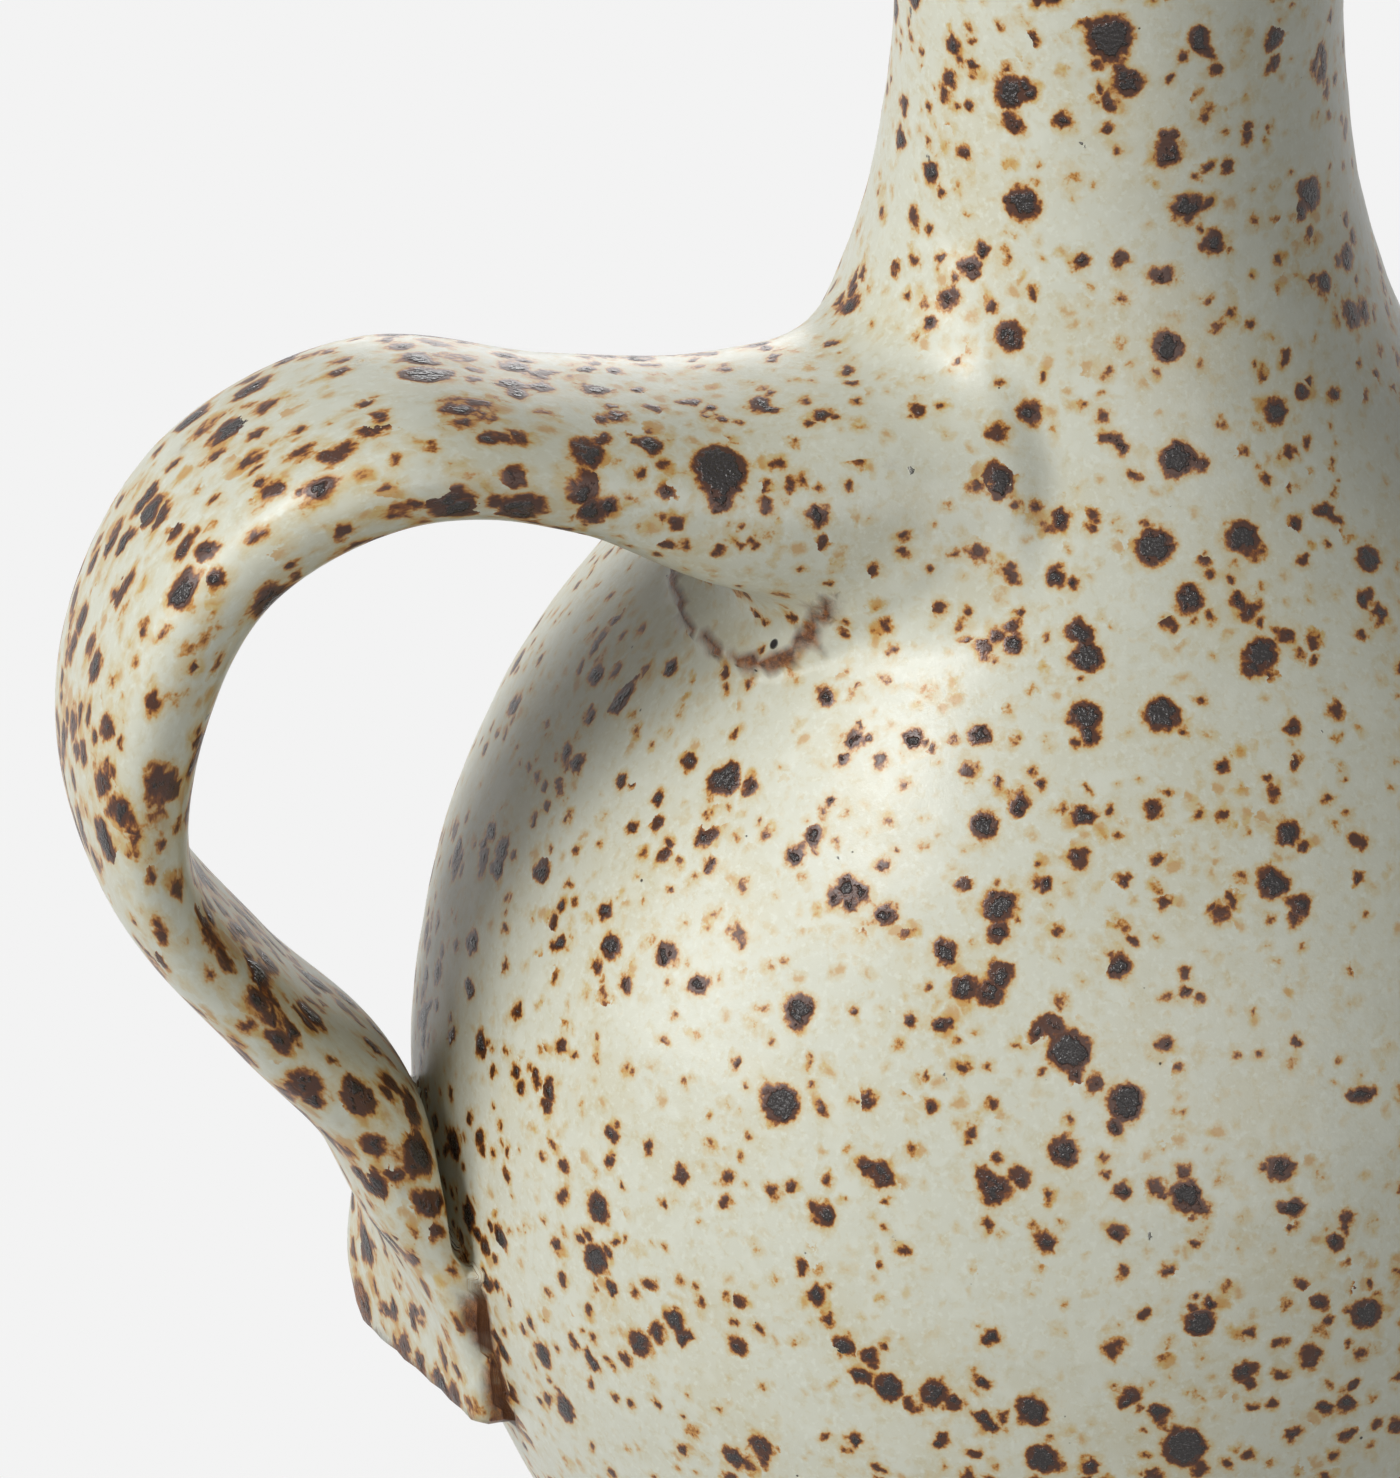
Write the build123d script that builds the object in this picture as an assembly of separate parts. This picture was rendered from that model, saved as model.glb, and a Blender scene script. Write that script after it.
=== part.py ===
from build123d import *
import math
import os

# A wheel-thrown stoneware vase: a round belly on a turned foot, a narrow neck, and one
# pulled strap handle from the root of the neck to the side of the belly.
# Millimetres. +Z is up, the origin is the middle of the foot's resting face,
# and the handle stands out along -X.

# Overall sizes
total_height = 250.0
belly_radius = 80.0
belly_line = 79.0            # height of the widest circle above the table
belly_rise = 88.7            # vertical half-axis of the belly's ellipse

# Shoulder, neck and lip
shoulder_rise = 55.0         # where the belly's ellipse ends and the flare begins, above the belly line
flare_rise = 82.0            # height of the flare, from the shoulder to the waist of the neck
neck_radius = 24.6           # outside, at the waist of the neck
lip_radius = 28.0            # outside, at the lip
lip_round = 1.9

# The flare's outline falls from the shoulder's radius to the neck's: (share of rise, share left)
flare_shape = [(0.31, 0.445), (0.61, 0.120)]

# Walls
belly_wall = 5.0
neck_wall = 4.6
floor_thickness = 5.5
floor_round = 9.0

# Turned foot
foot_radius = 42.5
foot_width = 6.5
foot_height = 5.0
foot_recess = 3.5
foot_bevel = 0.8

# Slip that lutes the pieces together, and the fired glaze
slip_thickness = 0.8
glaze_thickness = 0.5
bare_foot = 7.0              # the glaze stops this far above the table

# Strap handle, measured on its centre line. A rise is above the belly line, a fall below it,
# and a reach is outside the belly's widest circle.
root_rise = 82.0             # where the strap leaves the neck
root_start = 17.0            # the centre line starts this far from the vessel's axis, inside the neck
root_reach = 22.0            # it runs level to this far outside the waist of the neck
apex_rise = 92.4             # top of the loop
apex_reach = 4.5
crest_drop = 8.4             # between the top and the bulge, below the top
crest_tuck = 11.5            # and inside the bulge
bulge_reach = 34.6           # where the loop stands out furthest
bulge_rise = 54.5
bulge_half = 11.0            # half the length of the nearly upright stretch
bulge_tuck = 1.2             # how far its two ends lie inside the bulge
calf_rise = 24.0             # where the strap slants back to the belly
calf_tuck = 13.5
elbow_rise = 10.0            # where it turns down
elbow_reach = 9.5
heel_fall = 1.5              # where it meets the belly
heel_reach = 4.3
press_fall = 8.0             # where it is pressed on the belly
press_lift = 1.3             # its centre line is this far outside the belly's skin there
tail_fall = 29.0             # the cut end
tail_lift = 1.0
tail_twist = -16.0           # the tail leans over: its front edge is pressed flat on the belly
strap_width = 30.0
strap_thickness = 10.8
root_width = 50.0
root_thickness = 28.0
root_flare = 30.0            # length over which the root narrows to the strap
tail_width = 28.0
strap_squareness = 2.5       # exponent of the strap's oval section

# How finely the strap is lofted
STATIONS = 23
SECTION_POINTS = 16


def belly_radius_at(rise, grow=0.0):
    """Outside radius of the belly's ellipse at a height above the belly line."""
    share = rise / (belly_rise + grow)
    return (belly_radius + grow) * math.sqrt(1 - share * share)


def vessel_outline(grow, neck_grow, bottom, rim, past_rim=0.0):
    """Revolve the vessel's outline, moved outwards by grow, into a full solid from bottom to rim."""
    low_rise = bottom - belly_line
    low = math.degrees(math.asin(low_rise / (belly_rise + grow)))
    high = math.degrees(math.asin(shoulder_rise / (belly_rise + grow)))
    belly = EllipticalCenterArc(
        (0, belly_line), belly_radius + grow, belly_rise + grow, low, arc_size=high - low
    )
    shoulder_z = belly_line + shoulder_rise
    shoulder_r = belly_radius_at(shoulder_rise, grow)
    waist_r = neck_radius + neck_grow
    waist_z = shoulder_z + flare_rise
    flare_points = [(shoulder_r, shoulder_z)]
    for rise_share, left_share in flare_shape:
        radius = waist_r + left_share * (shoulder_r - waist_r)
        flare_points.append((radius, shoulder_z + rise_share * flare_rise))
    flare_points.append((waist_r, waist_z))
    flare = Spline(flare_points, tangents=[belly % 1, (0, 1)])
    mouth_r = lip_radius + neck_grow
    lip = Spline([(waist_r, waist_z), (mouth_r, rim)], tangents=[(0, 1), (0.35, 1)])
    crown_points = [(mouth_r, rim), (0, rim + past_rim), (0, bottom), belly @ 0]
    if past_rim > 0:
        crown_points.insert(1, (mouth_r, rim + past_rim))
    crown = Polyline(crown_points)
    face = make_face([belly, flare, lip, crown])
    return revolve(Plane.XZ * face, Axis.Z)


def handle_centre_line():
    """The strap's centre line, in the plane y = 0, from inside the neck to the cut end."""
    bulge = belly_radius + bulge_reach
    root_end = neck_radius + root_reach
    mid_tail = 0.6 * tail_fall
    points = [
        (root_start, root_rise),
        ((root_start + root_end) / 2, root_rise),
        (root_end, root_rise),
        ((root_end + belly_radius) / 2, (root_rise + apex_rise) / 2),
        (belly_radius + apex_reach, apex_rise),
        (bulge - crest_tuck, apex_rise - crest_drop),
        (bulge - bulge_tuck, bulge_rise + bulge_half),
        (bulge - bulge_tuck, bulge_rise - bulge_half),
        (bulge - calf_tuck, calf_rise),
        (belly_radius + elbow_reach, elbow_rise),
        (belly_radius + heel_reach, -heel_fall),
        (belly_radius_at(-press_fall) + press_lift, -press_fall),
        (belly_radius_at(-mid_tail), -mid_tail),
        (belly_radius_at(-tail_fall) + tail_lift, -tail_fall),
    ]
    return Spline([(-radius, 0, belly_line + rise) for radius, rise in points])


def ease(value, start, end):
    """0 at start, 1 at end, and a smooth step between them."""
    step = min(1.0, max(0.0, (value - start) / (end - start)))
    return step * step * (3 - 2 * step)


def strap_section(place, along, width, thickness, twist):
    """One closed oval section of the strap, square to its centre line."""
    across = Vector(0, -1, 0)
    outward = along.cross(across).normalized()
    turn = math.radians(twist)
    wide = across * math.cos(turn) + outward * math.sin(turn)
    thick = outward * math.cos(turn) - across * math.sin(turn)
    points = []
    for step in range(SECTION_POINTS):
        angle = 2 * math.pi * step / SECTION_POINTS
        c, s = math.cos(angle), math.sin(angle)
        u = math.copysign(abs(c) ** (2 / strap_squareness), c)
        v = math.copysign(abs(s) ** (2 / strap_squareness), s)
        points.append(place + wide * (u * width / 2) + thick * (v * thickness / 2))
    return Wire([Spline(points, periodic=True)])


def strap(grow=0.0):
    """Loft the strap, its sides moved outwards by grow, from inside the neck to its cut end."""
    line = handle_centre_line()
    level_run = neck_radius + root_reach - root_start
    sections = []
    for step in range(STATIONS):
        share = step / (STATIONS - 1)
        place = line @ share
        along = line % share
        root = 1 - ease(line.length * share, level_run - root_flare / 2, level_run + root_flare / 2)
        tail = ease(belly_line - place.Z, 0, 0.75 * tail_fall)
        width = strap_width + root * (root_width - strap_width) + tail * (tail_width - strap_width)
        thickness = strap_thickness + root * (root_thickness - strap_thickness)
        if step == STATIONS - 1:
            place = place + along * grow
        twist = tail * tail_twist
        sections.append(strap_section(place, along, width + 2 * grow, thickness + 2 * grow, twist))
    return Solid.make_loft(sections)


def cavity(shrink=0.0):
    """The hollow inside the walls, run out through the mouth; shrink leaves a coat on the wall."""
    floor_z = foot_recess + floor_thickness + shrink
    hollow = vessel_outline(
        -belly_wall - shrink, -neck_wall - shrink, floor_z, total_height + shrink, past_rim=lip_round
    )
    return fillet(hollow.edges().sort_by(Axis.Z)[0], floor_round)


def foot_ring():
    """The turned ring under the belly, with a bevelled edge inside and out."""
    standing = (Align.CENTER, Align.CENTER, Align.MIN)
    ring = Cylinder(foot_radius, belly_line / 2, align=standing)
    ring -= Cylinder(foot_radius - foot_width, foot_recess, align=standing)
    return chamfer(ring.faces().sort_by(Axis.Z)[0].edges(), foot_bevel)


def slab(low, high):
    """A wide disc that keeps what lies between two heights."""
    disc = Cylinder(2 * belly_radius, high - low, align=(Align.CENTER, Align.CENTER, Align.MIN))
    return Pos(0, 0, low) * disc


def rounded_lip(wall):
    """Round the two edges of the mouth."""
    return fillet(wall.faces().sort_by(Axis.Z)[-1].edges(), lip_round)


filled = vessel_outline(0, 0, foot_height, total_height)
clay_wall = rounded_lip(filled - cavity())
clay_wall += foot_ring() - cavity()

joint_z = belly_line + shoulder_rise
half_slip = slip_thickness / 2
globe_body = clay_wall & slab(0, joint_z - half_slip)
neck_section = clay_wall & slab(joint_z + half_slip, total_height)
neck_joint_slip = clay_wall & slab(joint_z - half_slip, joint_z + half_slip)

# The strap stands on a coat of slip at each end
strap_raw = strap()
slip_envelope = vessel_outline(slip_thickness, slip_thickness, foot_height, total_height)
handle = strap_raw - slip_envelope
handle_slips = (strap_raw & slip_envelope) - filled
upper_handle_slip, lower_handle_slip = handle_slips.solids().sort_by(Axis.Z, reverse=True)

# The glaze is one skin over the outside of the vessel and the handle, and a liner inside
glaze_envelope = vessel_outline(glaze_thickness, glaze_thickness, bare_foot, total_height + glaze_thickness)
vessel_glazed = rounded_lip(glaze_envelope - cavity(glaze_thickness))
mid_wall = vessel_outline(
    -belly_wall / 2, -neck_wall / 2, foot_recess + floor_thickness / 2, total_height, past_rim=lip_round
)
vessel_skin = vessel_glazed - clay_wall - mid_wall
handle_skin = strap(glaze_thickness) - filled
outer_glaze = vessel_skin + handle_skin - strap_raw
liner_glaze = (vessel_glazed & mid_wall) - clay_wall

nodes = {
    "globe_body": globe_body,
    "neck_section": neck_section,
    "neck_joint_slip": neck_joint_slip,
    "handle": handle,
    "upper_handle_slip": upper_handle_slip,
    "lower_handle_slip": lower_handle_slip,
    "outer_glaze": outer_glaze,
    "liner_glaze": liner_glaze,
}

os.makedirs("parts", exist_ok=True)
for name, shape in nodes.items():
    export_step(shape, f"parts/{name}.step")
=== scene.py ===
import math
from itertools import combinations

import bmesh
import bpy
import numpy as np
from bpy.props import FloatProperty, FloatVectorProperty, IntProperty, PointerProperty
from mathutils import Matrix, Vector


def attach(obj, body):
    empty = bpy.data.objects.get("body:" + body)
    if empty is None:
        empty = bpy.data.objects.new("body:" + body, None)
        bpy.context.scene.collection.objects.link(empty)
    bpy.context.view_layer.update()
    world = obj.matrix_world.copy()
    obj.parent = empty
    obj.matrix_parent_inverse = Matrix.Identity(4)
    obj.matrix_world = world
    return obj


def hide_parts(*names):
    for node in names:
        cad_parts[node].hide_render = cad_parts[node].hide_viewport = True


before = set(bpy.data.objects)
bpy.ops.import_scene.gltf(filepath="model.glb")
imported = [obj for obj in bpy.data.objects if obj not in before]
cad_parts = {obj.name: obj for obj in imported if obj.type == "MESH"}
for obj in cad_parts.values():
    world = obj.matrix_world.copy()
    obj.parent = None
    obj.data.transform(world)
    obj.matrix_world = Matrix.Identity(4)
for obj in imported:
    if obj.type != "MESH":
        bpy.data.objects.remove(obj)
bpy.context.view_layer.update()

bl_info = {
    "name": "Speckled stoneware vase",
    "version": (1, 0, 0),
    "blender": (4, 5, 0),
    "location": "View3D > Sidebar > Pottery",
    "description": "Builds a glazed stoneware bottle vase with a pulled strap handle",
    "category": "Add Mesh",
}

MM = 0.001

# The main iron blots: (degrees round from the handle to the front, height, radius)
MAIN_BLOTS = [
    (70, 220, 2.7), (75, 215, 1.8), (60, 210, 1.2), (50, 200, 2.0), (90, 200, 1.8), (50, 185, 1.8),
    (85, 185, 1.8), (80, 165, 2.2), (95, 165, 2.0), (85, 160, 1.7), (70, 155, 1.7), (70, 150, 1.8),
    (80, 150, 2.0), (35, 155, 2.1), (60, 140, 1.6), (90, 135, 1.9), (45, 120, 1.9), (45, 110, 2.3),
    (70, 120, 2.4), (75, 115, 2.1), (70, 110, 1.7), (55, 105, 1.5), (80, 105, 1.8), (80, 75, 2.7),
    (90, 85, 1.6),
]

# and on the strap: (distance along it, degrees round its section from the front edge, radius)
MAIN_STRAP_BLOTS = [
    (35, 35, 3.3), (50, 35, 2.2), (45, 65, 1.3), (80, 115, 1.6), (80, 20, 1.8), (90, -20, 2.5),
    (80, -20, 1.7), (130, -15, 1.5), (140, -25, 1.8), (160, -50, 1.6), (170, -20, 1.7), (180, -15, 1.5),
]

# A pinhole burst open on the smeared clay under the root of the strap, in metres; its inside is painted
# near-black as shade
PAD_PIT = (-0.0457, -0.0229, 0.1506)

# The flare from the shoulder to the waist of the neck: (share of its rise, share of its narrowing left)
FLARE_SHAPE = [(0, 1), (0.31, 0.445), (0.61, 0.120), (1, 0)]
LIP_SLOPE = 0.35

# Stretches of the strap, in mm along it: where each begins, is full, begins to fade and is over
CREST = (42, 68, 104, 134)
CALF = (116, 140, 156, 180)
# and where its skew to the front begins to fade and is over
SKEW_FADE = (35, 150)

# In mm: the skin runs over the lip and down to where the lining takes over, inside this radius.
# Its own hollow is a little deeper, and the rest of it is cut off.
SKIN_END = 240.0
SKIN_HOLLOW = 225.0
HOLLOW_REACH = 23.0
FLOOR_ROUND = 9.0

# Rounding of the foot's edges and of the recess in it, how far its flat keeps from its sides,
# and how far the clay keeps inside its own outline, under the skin, in mm
FOOT_ROUND = 0.9
RECESS_ROUND = 1.6
FLAT_EDGE = 1.6
CLAY_TUCK = 0.35

# Corners of the grid that the skin is wrapped on, in mm, and of each of its cells, in steps
GRID_LOW, GRID_HIGH = (-125.0, -85.0, 2.0), (85.0, 85.0, 254.0)
CORNERS = np.array([(x, y, z) for x in (0, 1) for y in (0, 1) for z in (0, 1)])

# How many loose blots are tried, how far they keep from the main ones in mm, and how deep no blot is
VESSEL_BLOTS, VESSEL_CLEAR = 1150, 7
STRAP_BLOTS, STRAP_CLEAR = 640, 5
NO_BLOT = -5.0

# Grey of the seen background, and how far the lamps stand from the pot, in metres
BACKDROP = 0.896
LAMP_DISTANCE = 1.6
UPRIGHT = (0, 0, 1)

# Lamps: name, the way to each, the way its height runs, width, height, share of full light
LAMPS = [
    ("key", (-0.664, -0.205, 0.719), (0, 0.3, 1), 0.22, 0.38, 0.32),
    ("key_wide", (-0.69, -0.06, 0.72), (0, 0.3, 1), 0.5, 0.5, 0.20),
    ("pane_low", (-0.81, -0.29, 0.50), UPRIGHT, 0.14, 0.14, 0.085),
    ("left_low", (-0.97, -0.05, 0.22), UPRIGHT, 0.6, 0.6, 0.30),
    ("left_soft", (-0.98, -0.17, 0.09), UPRIGHT, 1.3, 1.3, 0.11),
    ("front_soft", (0.0, -0.99, 0.14), UPRIGHT, 1.3, 1.3, 0.36),
    ("back_soft", (0.34, 0.93, 0.12), UPRIGHT, 1.0, 1.0, 0.34),
]


# ---------------------------------------------------------------- noise, curves and distances


def hashed(ix, iy, iz, seed):
    """A repeatable number from 0 to 1 for each lattice point."""
    n = (ix * 374761393 + iy * 668265263 + iz * 1274126177 + seed * 974634777) & 0xFFFFFFFF
    n = ((n ^ (n >> 13)) * 1103515245) & 0xFFFFFFFF
    n = n ^ (n >> 16)
    return (n & 0xFFFF) / 65535.0


def soft_noise(points, size, seed):
    """Value noise from -1 to 1, with features of about the given size."""
    scaled = points / size
    base = np.floor(scaled).astype(np.int64)
    part = scaled - base
    part = part * part * part * (part * (part * 6 - 15) + 10)
    total = np.zeros(len(points))
    for dx in (0, 1):
        wx = part[:, 0] if dx else 1 - part[:, 0]
        for dy in (0, 1):
            wy = part[:, 1] if dy else 1 - part[:, 1]
            for dz in (0, 1):
                wz = part[:, 2] if dz else 1 - part[:, 2]
                total += wx * wy * wz * hashed(base[:, 0] + dx, base[:, 1] + dy, base[:, 2] + dz, seed)
    return total * 2 - 1


def ease(value, start, end):
    """0 at start, 1 at end, and a smooth step between them."""
    step = np.clip((value - start) / (end - start), 0, 1)
    return step * step * (3 - 2 * step)


def stretch(along, begins, full, fades, over):
    """1 on a stretch of the strap, eased to 0 at both its ends."""
    return ease(along, begins, full) * (1 - ease(along, fades, over))


def smooth_min(a, b, k):
    """The nearer of two distances, rounded where they are within k of each other."""
    h = np.maximum(k - np.abs(a - b), 0) / k
    return np.minimum(a, b) - h * h * k / 4


def smooth_max(a, b, k):
    """The further of two distances, rounded in the same way."""
    return -smooth_min(-a, -b, k)


def rounded_line(points, step):
    """A smooth curve through the points (centripetal Catmull-Rom), sampled about every step."""
    p = np.asarray(points, float)
    p = np.vstack([2 * p[0] - p[1], p, 2 * p[-1] - p[-2]])
    runs = []
    for p0, p1, p2, p3 in zip(p, p[1:], p[2:], p[3:]):
        t1 = np.linalg.norm(p1 - p0) ** 0.5
        t2 = t1 + np.linalg.norm(p2 - p1) ** 0.5
        t3 = t2 + np.linalg.norm(p3 - p2) ** 0.5
        t = np.linspace(t1, t2, 40, endpoint=False)[:, None]
        a1 = (t1 - t) / t1 * p0 + t / t1 * p1
        a2 = (t2 - t) / (t2 - t1) * p1 + (t - t1) / (t2 - t1) * p2
        a3 = (t3 - t) / (t3 - t2) * p2 + (t - t2) / (t3 - t2) * p3
        b1 = (t2 - t) / t2 * a1 + t / t2 * a2
        b2 = (t3 - t) / (t3 - t1) * a2 + (t - t1) / (t3 - t1) * a3
        runs.append((t2 - t) / (t2 - t1) * b1 + (t - t1) / (t2 - t1) * b2)
    line = np.vstack(runs + [p[-2][None]])
    along = np.concatenate([[0], np.cumsum(np.linalg.norm(np.diff(line, axis=0), axis=1))])
    want = np.linspace(0, along[-1], int(along[-1] / step) + 1)
    return want, np.stack([np.interp(want, along, line[:, k]) for k in range(p.shape[1])], 1)


def clamped_spline(x, y, start_slope, end_slope):
    """The slopes at the knots of the smooth cubic spline through them, with its end slopes given."""
    n = len(x)
    grid, right = np.eye(n), np.zeros(n)
    right[0], right[-1] = start_slope, end_slope
    for i in range(1, n - 1):
        before, after = x[i] - x[i - 1], x[i + 1] - x[i]
        grid[i, i - 1], grid[i, i], grid[i, i + 1] = 1 / before, 2 / before + 2 / after, 1 / after
        right[i] = 3 * ((y[i] - y[i - 1]) / before ** 2 + (y[i + 1] - y[i]) / after ** 2)
    return np.linalg.solve(grid, right)


def spline_value(at, x, y, slopes):
    """Value of that spline."""
    i = np.clip(np.searchsorted(x, at) - 1, 0, len(x) - 2)
    width = x[i + 1] - x[i]
    t = (at - x[i]) / width
    return (y[i] * (1 + 2 * t) * (1 - t) ** 2 + slopes[i] * width * t * (1 - t) ** 2
            + y[i + 1] * t * t * (3 - 2 * t) + slopes[i + 1] * width * t * t * (t - 1))


# ---------------------------------------------------------------- settings


def length_property(name, description, default):
    """A length whose default is given in mm."""
    return FloatProperty(name=name, description=description, default=default * MM,
                         min=0.0, subtype="DISTANCE", unit="LENGTH")


def colour_property(name, description, default):
    """A linear RGB colour."""
    return FloatVectorProperty(name=name, description=description, default=default,
                               size=3, min=0.0, max=1.0, subtype="COLOR")


class VesselSettings(bpy.types.PropertyGroup):
    """Sizes of the thrown bottle."""

    height: length_property("Height", "Table to lip, over the clay", 250)
    belly_radius: length_property("Belly radius", "Outside radius at the widest circle", 79.6)
    belly_line: length_property("Belly line", "Height of the widest circle", 79)
    belly_rise: length_property("Belly rise", "Upright half axis of the belly's ellipse", 88.7)
    shoulder_rise: length_property("Shoulder", "Where the flare begins, above the belly line", 55)
    flare_rise: length_property("Flare", "Height of the flare up to the waist of the neck", 82)
    neck_radius: length_property("Neck radius", "Outside radius at the waist of the neck", 24.2)
    lip_radius: length_property("Lip radius", "Outside radius at the lip", 27.6)
    belly_wall: length_property("Belly wall", "Clay thickness in the belly", 5)
    neck_wall: length_property("Neck wall", "Clay thickness in the neck", 4.6)
    foot_radius: length_property("Foot radius", "Outside radius of the turned foot", 42.5)
    foot_width: length_property("Foot width", "Width of the ring that stands on the table", 6.5)
    foot_recess: length_property("Foot recess", "Depth turned out under the base", 3.5)
    floor_thickness: length_property("Floor", "Clay thickness of the base", 5.5)


class HandleSettings(bpy.types.PropertyGroup):
    """Sizes of the pulled strap."""

    root_rise: length_property("Root rise", "Where the strap leaves the neck, above the belly line", 82)
    root_start: length_property("Root start", "The centre line starts this far from the vessel's axis", 17)
    root_reach: length_property("Root reach", "It runs nearly level to this far outside the neck", 22.4)
    root_climb: length_property("Root climb", "and climbs this far on the way", 1.5)
    apex_rise: length_property("Apex rise", "Top of the loop, above the belly line", 92.4)
    apex_reach: length_property("Apex reach", "Top of the loop, outside the belly", 4.9)
    crest_drop: length_property("Crest drop", "Between the top and the bulge, below the top", 8.4)
    crest_tuck: length_property("Crest tuck", "and inside the bulge", 11.3)
    bulge_reach: length_property("Bulge reach", "Where the loop stands out furthest", 35.2)
    bulge_rise: length_property("Bulge rise", "Height of the bulge, above the belly line", 54.5)
    bulge_half: length_property("Bulge half", "Half the nearly upright stretch", 11)
    bulge_tuck: length_property("Bulge tuck", "How far its ends lie inside the bulge", 1.2)
    calf_rise: length_property("Calf rise", "Where the strap slants back to the belly", 24)
    calf_tuck: length_property("Calf tuck", "Inside the bulge", 13.7)
    elbow_rise: length_property("Elbow rise", "Where the strap turns down", 10)
    elbow_reach: length_property("Elbow reach", "Outside the belly", 9.9)
    heel_fall: length_property("Heel fall", "Where it meets the belly, below the belly line", 1.5)
    heel_reach: length_property("Heel reach", "Outside the belly", 4.7)
    press_fall: length_property("Press fall", "Where it is pressed on, below the belly line", 8)
    press_lift: length_property("Press lift", "Centre line outside the belly's skin there", 1.7)
    tail_fall: length_property("Tail fall", "How far below the belly line the strap is cut", 29)
    tail_lift: length_property("Tail lift", "Centre line outside the belly's skin at the cut", 1.4)
    tail_lean: FloatProperty(name="Tail lean", description="How far the tail leans over to the front",
                             default=math.radians(16), subtype="ANGLE", unit="ROTATION")
    width: length_property("Width", "Width of the strap in the loop", 30)
    thickness: length_property("Thickness", "Thickness of the strap in the loop", 10.8)
    root_skew: length_property("Root skew", "How far towards the front the strap leaves the neck", 12)
    skew_climb: length_property("Skew climb", "How much higher than its line the strap stands there", 6.6)
    skew_reach: length_property("Skew reach", "and how much further out", 3.2)
    root_width: length_property("Root width", "Width where the strap leaves the neck", 37)
    root_thickness: length_property("Root thickness", "Thickness where the strap leaves the neck", 26.5)
    root_sink: length_property("Root sink", "How far the thick root hangs below the strap's line", 2.4)
    root_flare: length_property("Root flare", "Length over which the root narrows", 52)
    crumble: length_property("Crumble", "How far the tail's torn front side is roughened", 0.75)
    slot_gap: length_property("Slot gap", "How far the tail's front edge stands off at the heel", 2.6)
    tail_width: length_property("Tail width", "Width at the cut end", 30.4)
    crest_swell: length_property("Crest swell", "Extra half thickness over the top of the loop", 1.1)
    calf_draw: length_property("Calf draw", "Half thickness drawn out below the loop", 0.8)
    root_blend: length_property("Root blend", "Radius of the wiped join at the root", 7.0)
    tail_blend: length_property("Tail blend", "Radius of the glaze pool along the tail", 1.0)
    pad_width: length_property("Pad width", "Half the width of the clay smeared under the root", 20)
    pad_height: length_property("Pad height", "How far it reaches below the root's line", 16.3)
    pad_lift: length_property("Pad lift", "Its thickness at the lower edge", 1.1)


class GlazeSettings(bpy.types.PropertyGroup):
    """The fired glaze and the bare clay."""

    skin_step: length_property("Skin detail", "Size of the faces of the glazed skin", 1.43)
    thickness: length_property("Glaze thickness", "Thickness of the glaze coat", 0.6)
    bare_foot: length_property("Bare foot", "The glaze stops this far above the table", 7)
    seed: IntProperty(name="Seed", description="Changes where the loose blots fall", default=7)
    glaze: colour_property("Glaze", "Pale body colour of the glaze", (0.615, 0.62, 0.515))
    oatmeal: colour_property("Oatmeal", "Warmer clouding in the glaze", (0.55, 0.49, 0.30))
    bloom: colour_property("Bloom", "Milky flecks in the glaze", (0.68, 0.70, 0.61))
    straw: colour_property("Straw", "Halo round the iron spots", (0.56, 0.42, 0.17))
    ochre: colour_property("Ochre", "Fringe of the iron spots", (0.50, 0.225, 0.040))
    russet: colour_property("Russet", "Ring inside the fringe", (0.20, 0.058, 0.009))
    rust: colour_property("Rust", "Body of the iron spots", (0.060, 0.016, 0.0035))
    iron: colour_property("Iron", "Crusted core of the iron spots", (0.016, 0.011, 0.010))
    clay: colour_property("Clay", "Bare fired stoneware", (0.46, 0.33, 0.22))


class StageSettings(bpy.types.PropertyGroup):
    """Camera, lights and floor."""

    elevation: FloatProperty(name="Elevation", description="Camera height angle",
                             default=math.radians(28), subtype="ANGLE", unit="ROTATION")
    azimuth: FloatProperty(name="Azimuth", description="Camera turn from the front",
                           default=math.radians(-15), subtype="ANGLE", unit="ROTATION")
    distance: length_property("Distance", "Camera to aim point", 1200)
    lens: FloatProperty(name="Lens", description="Focal length in mm", default=254.2, min=10)


# ---------------------------------------------------------------- the pot's form as distances


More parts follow.
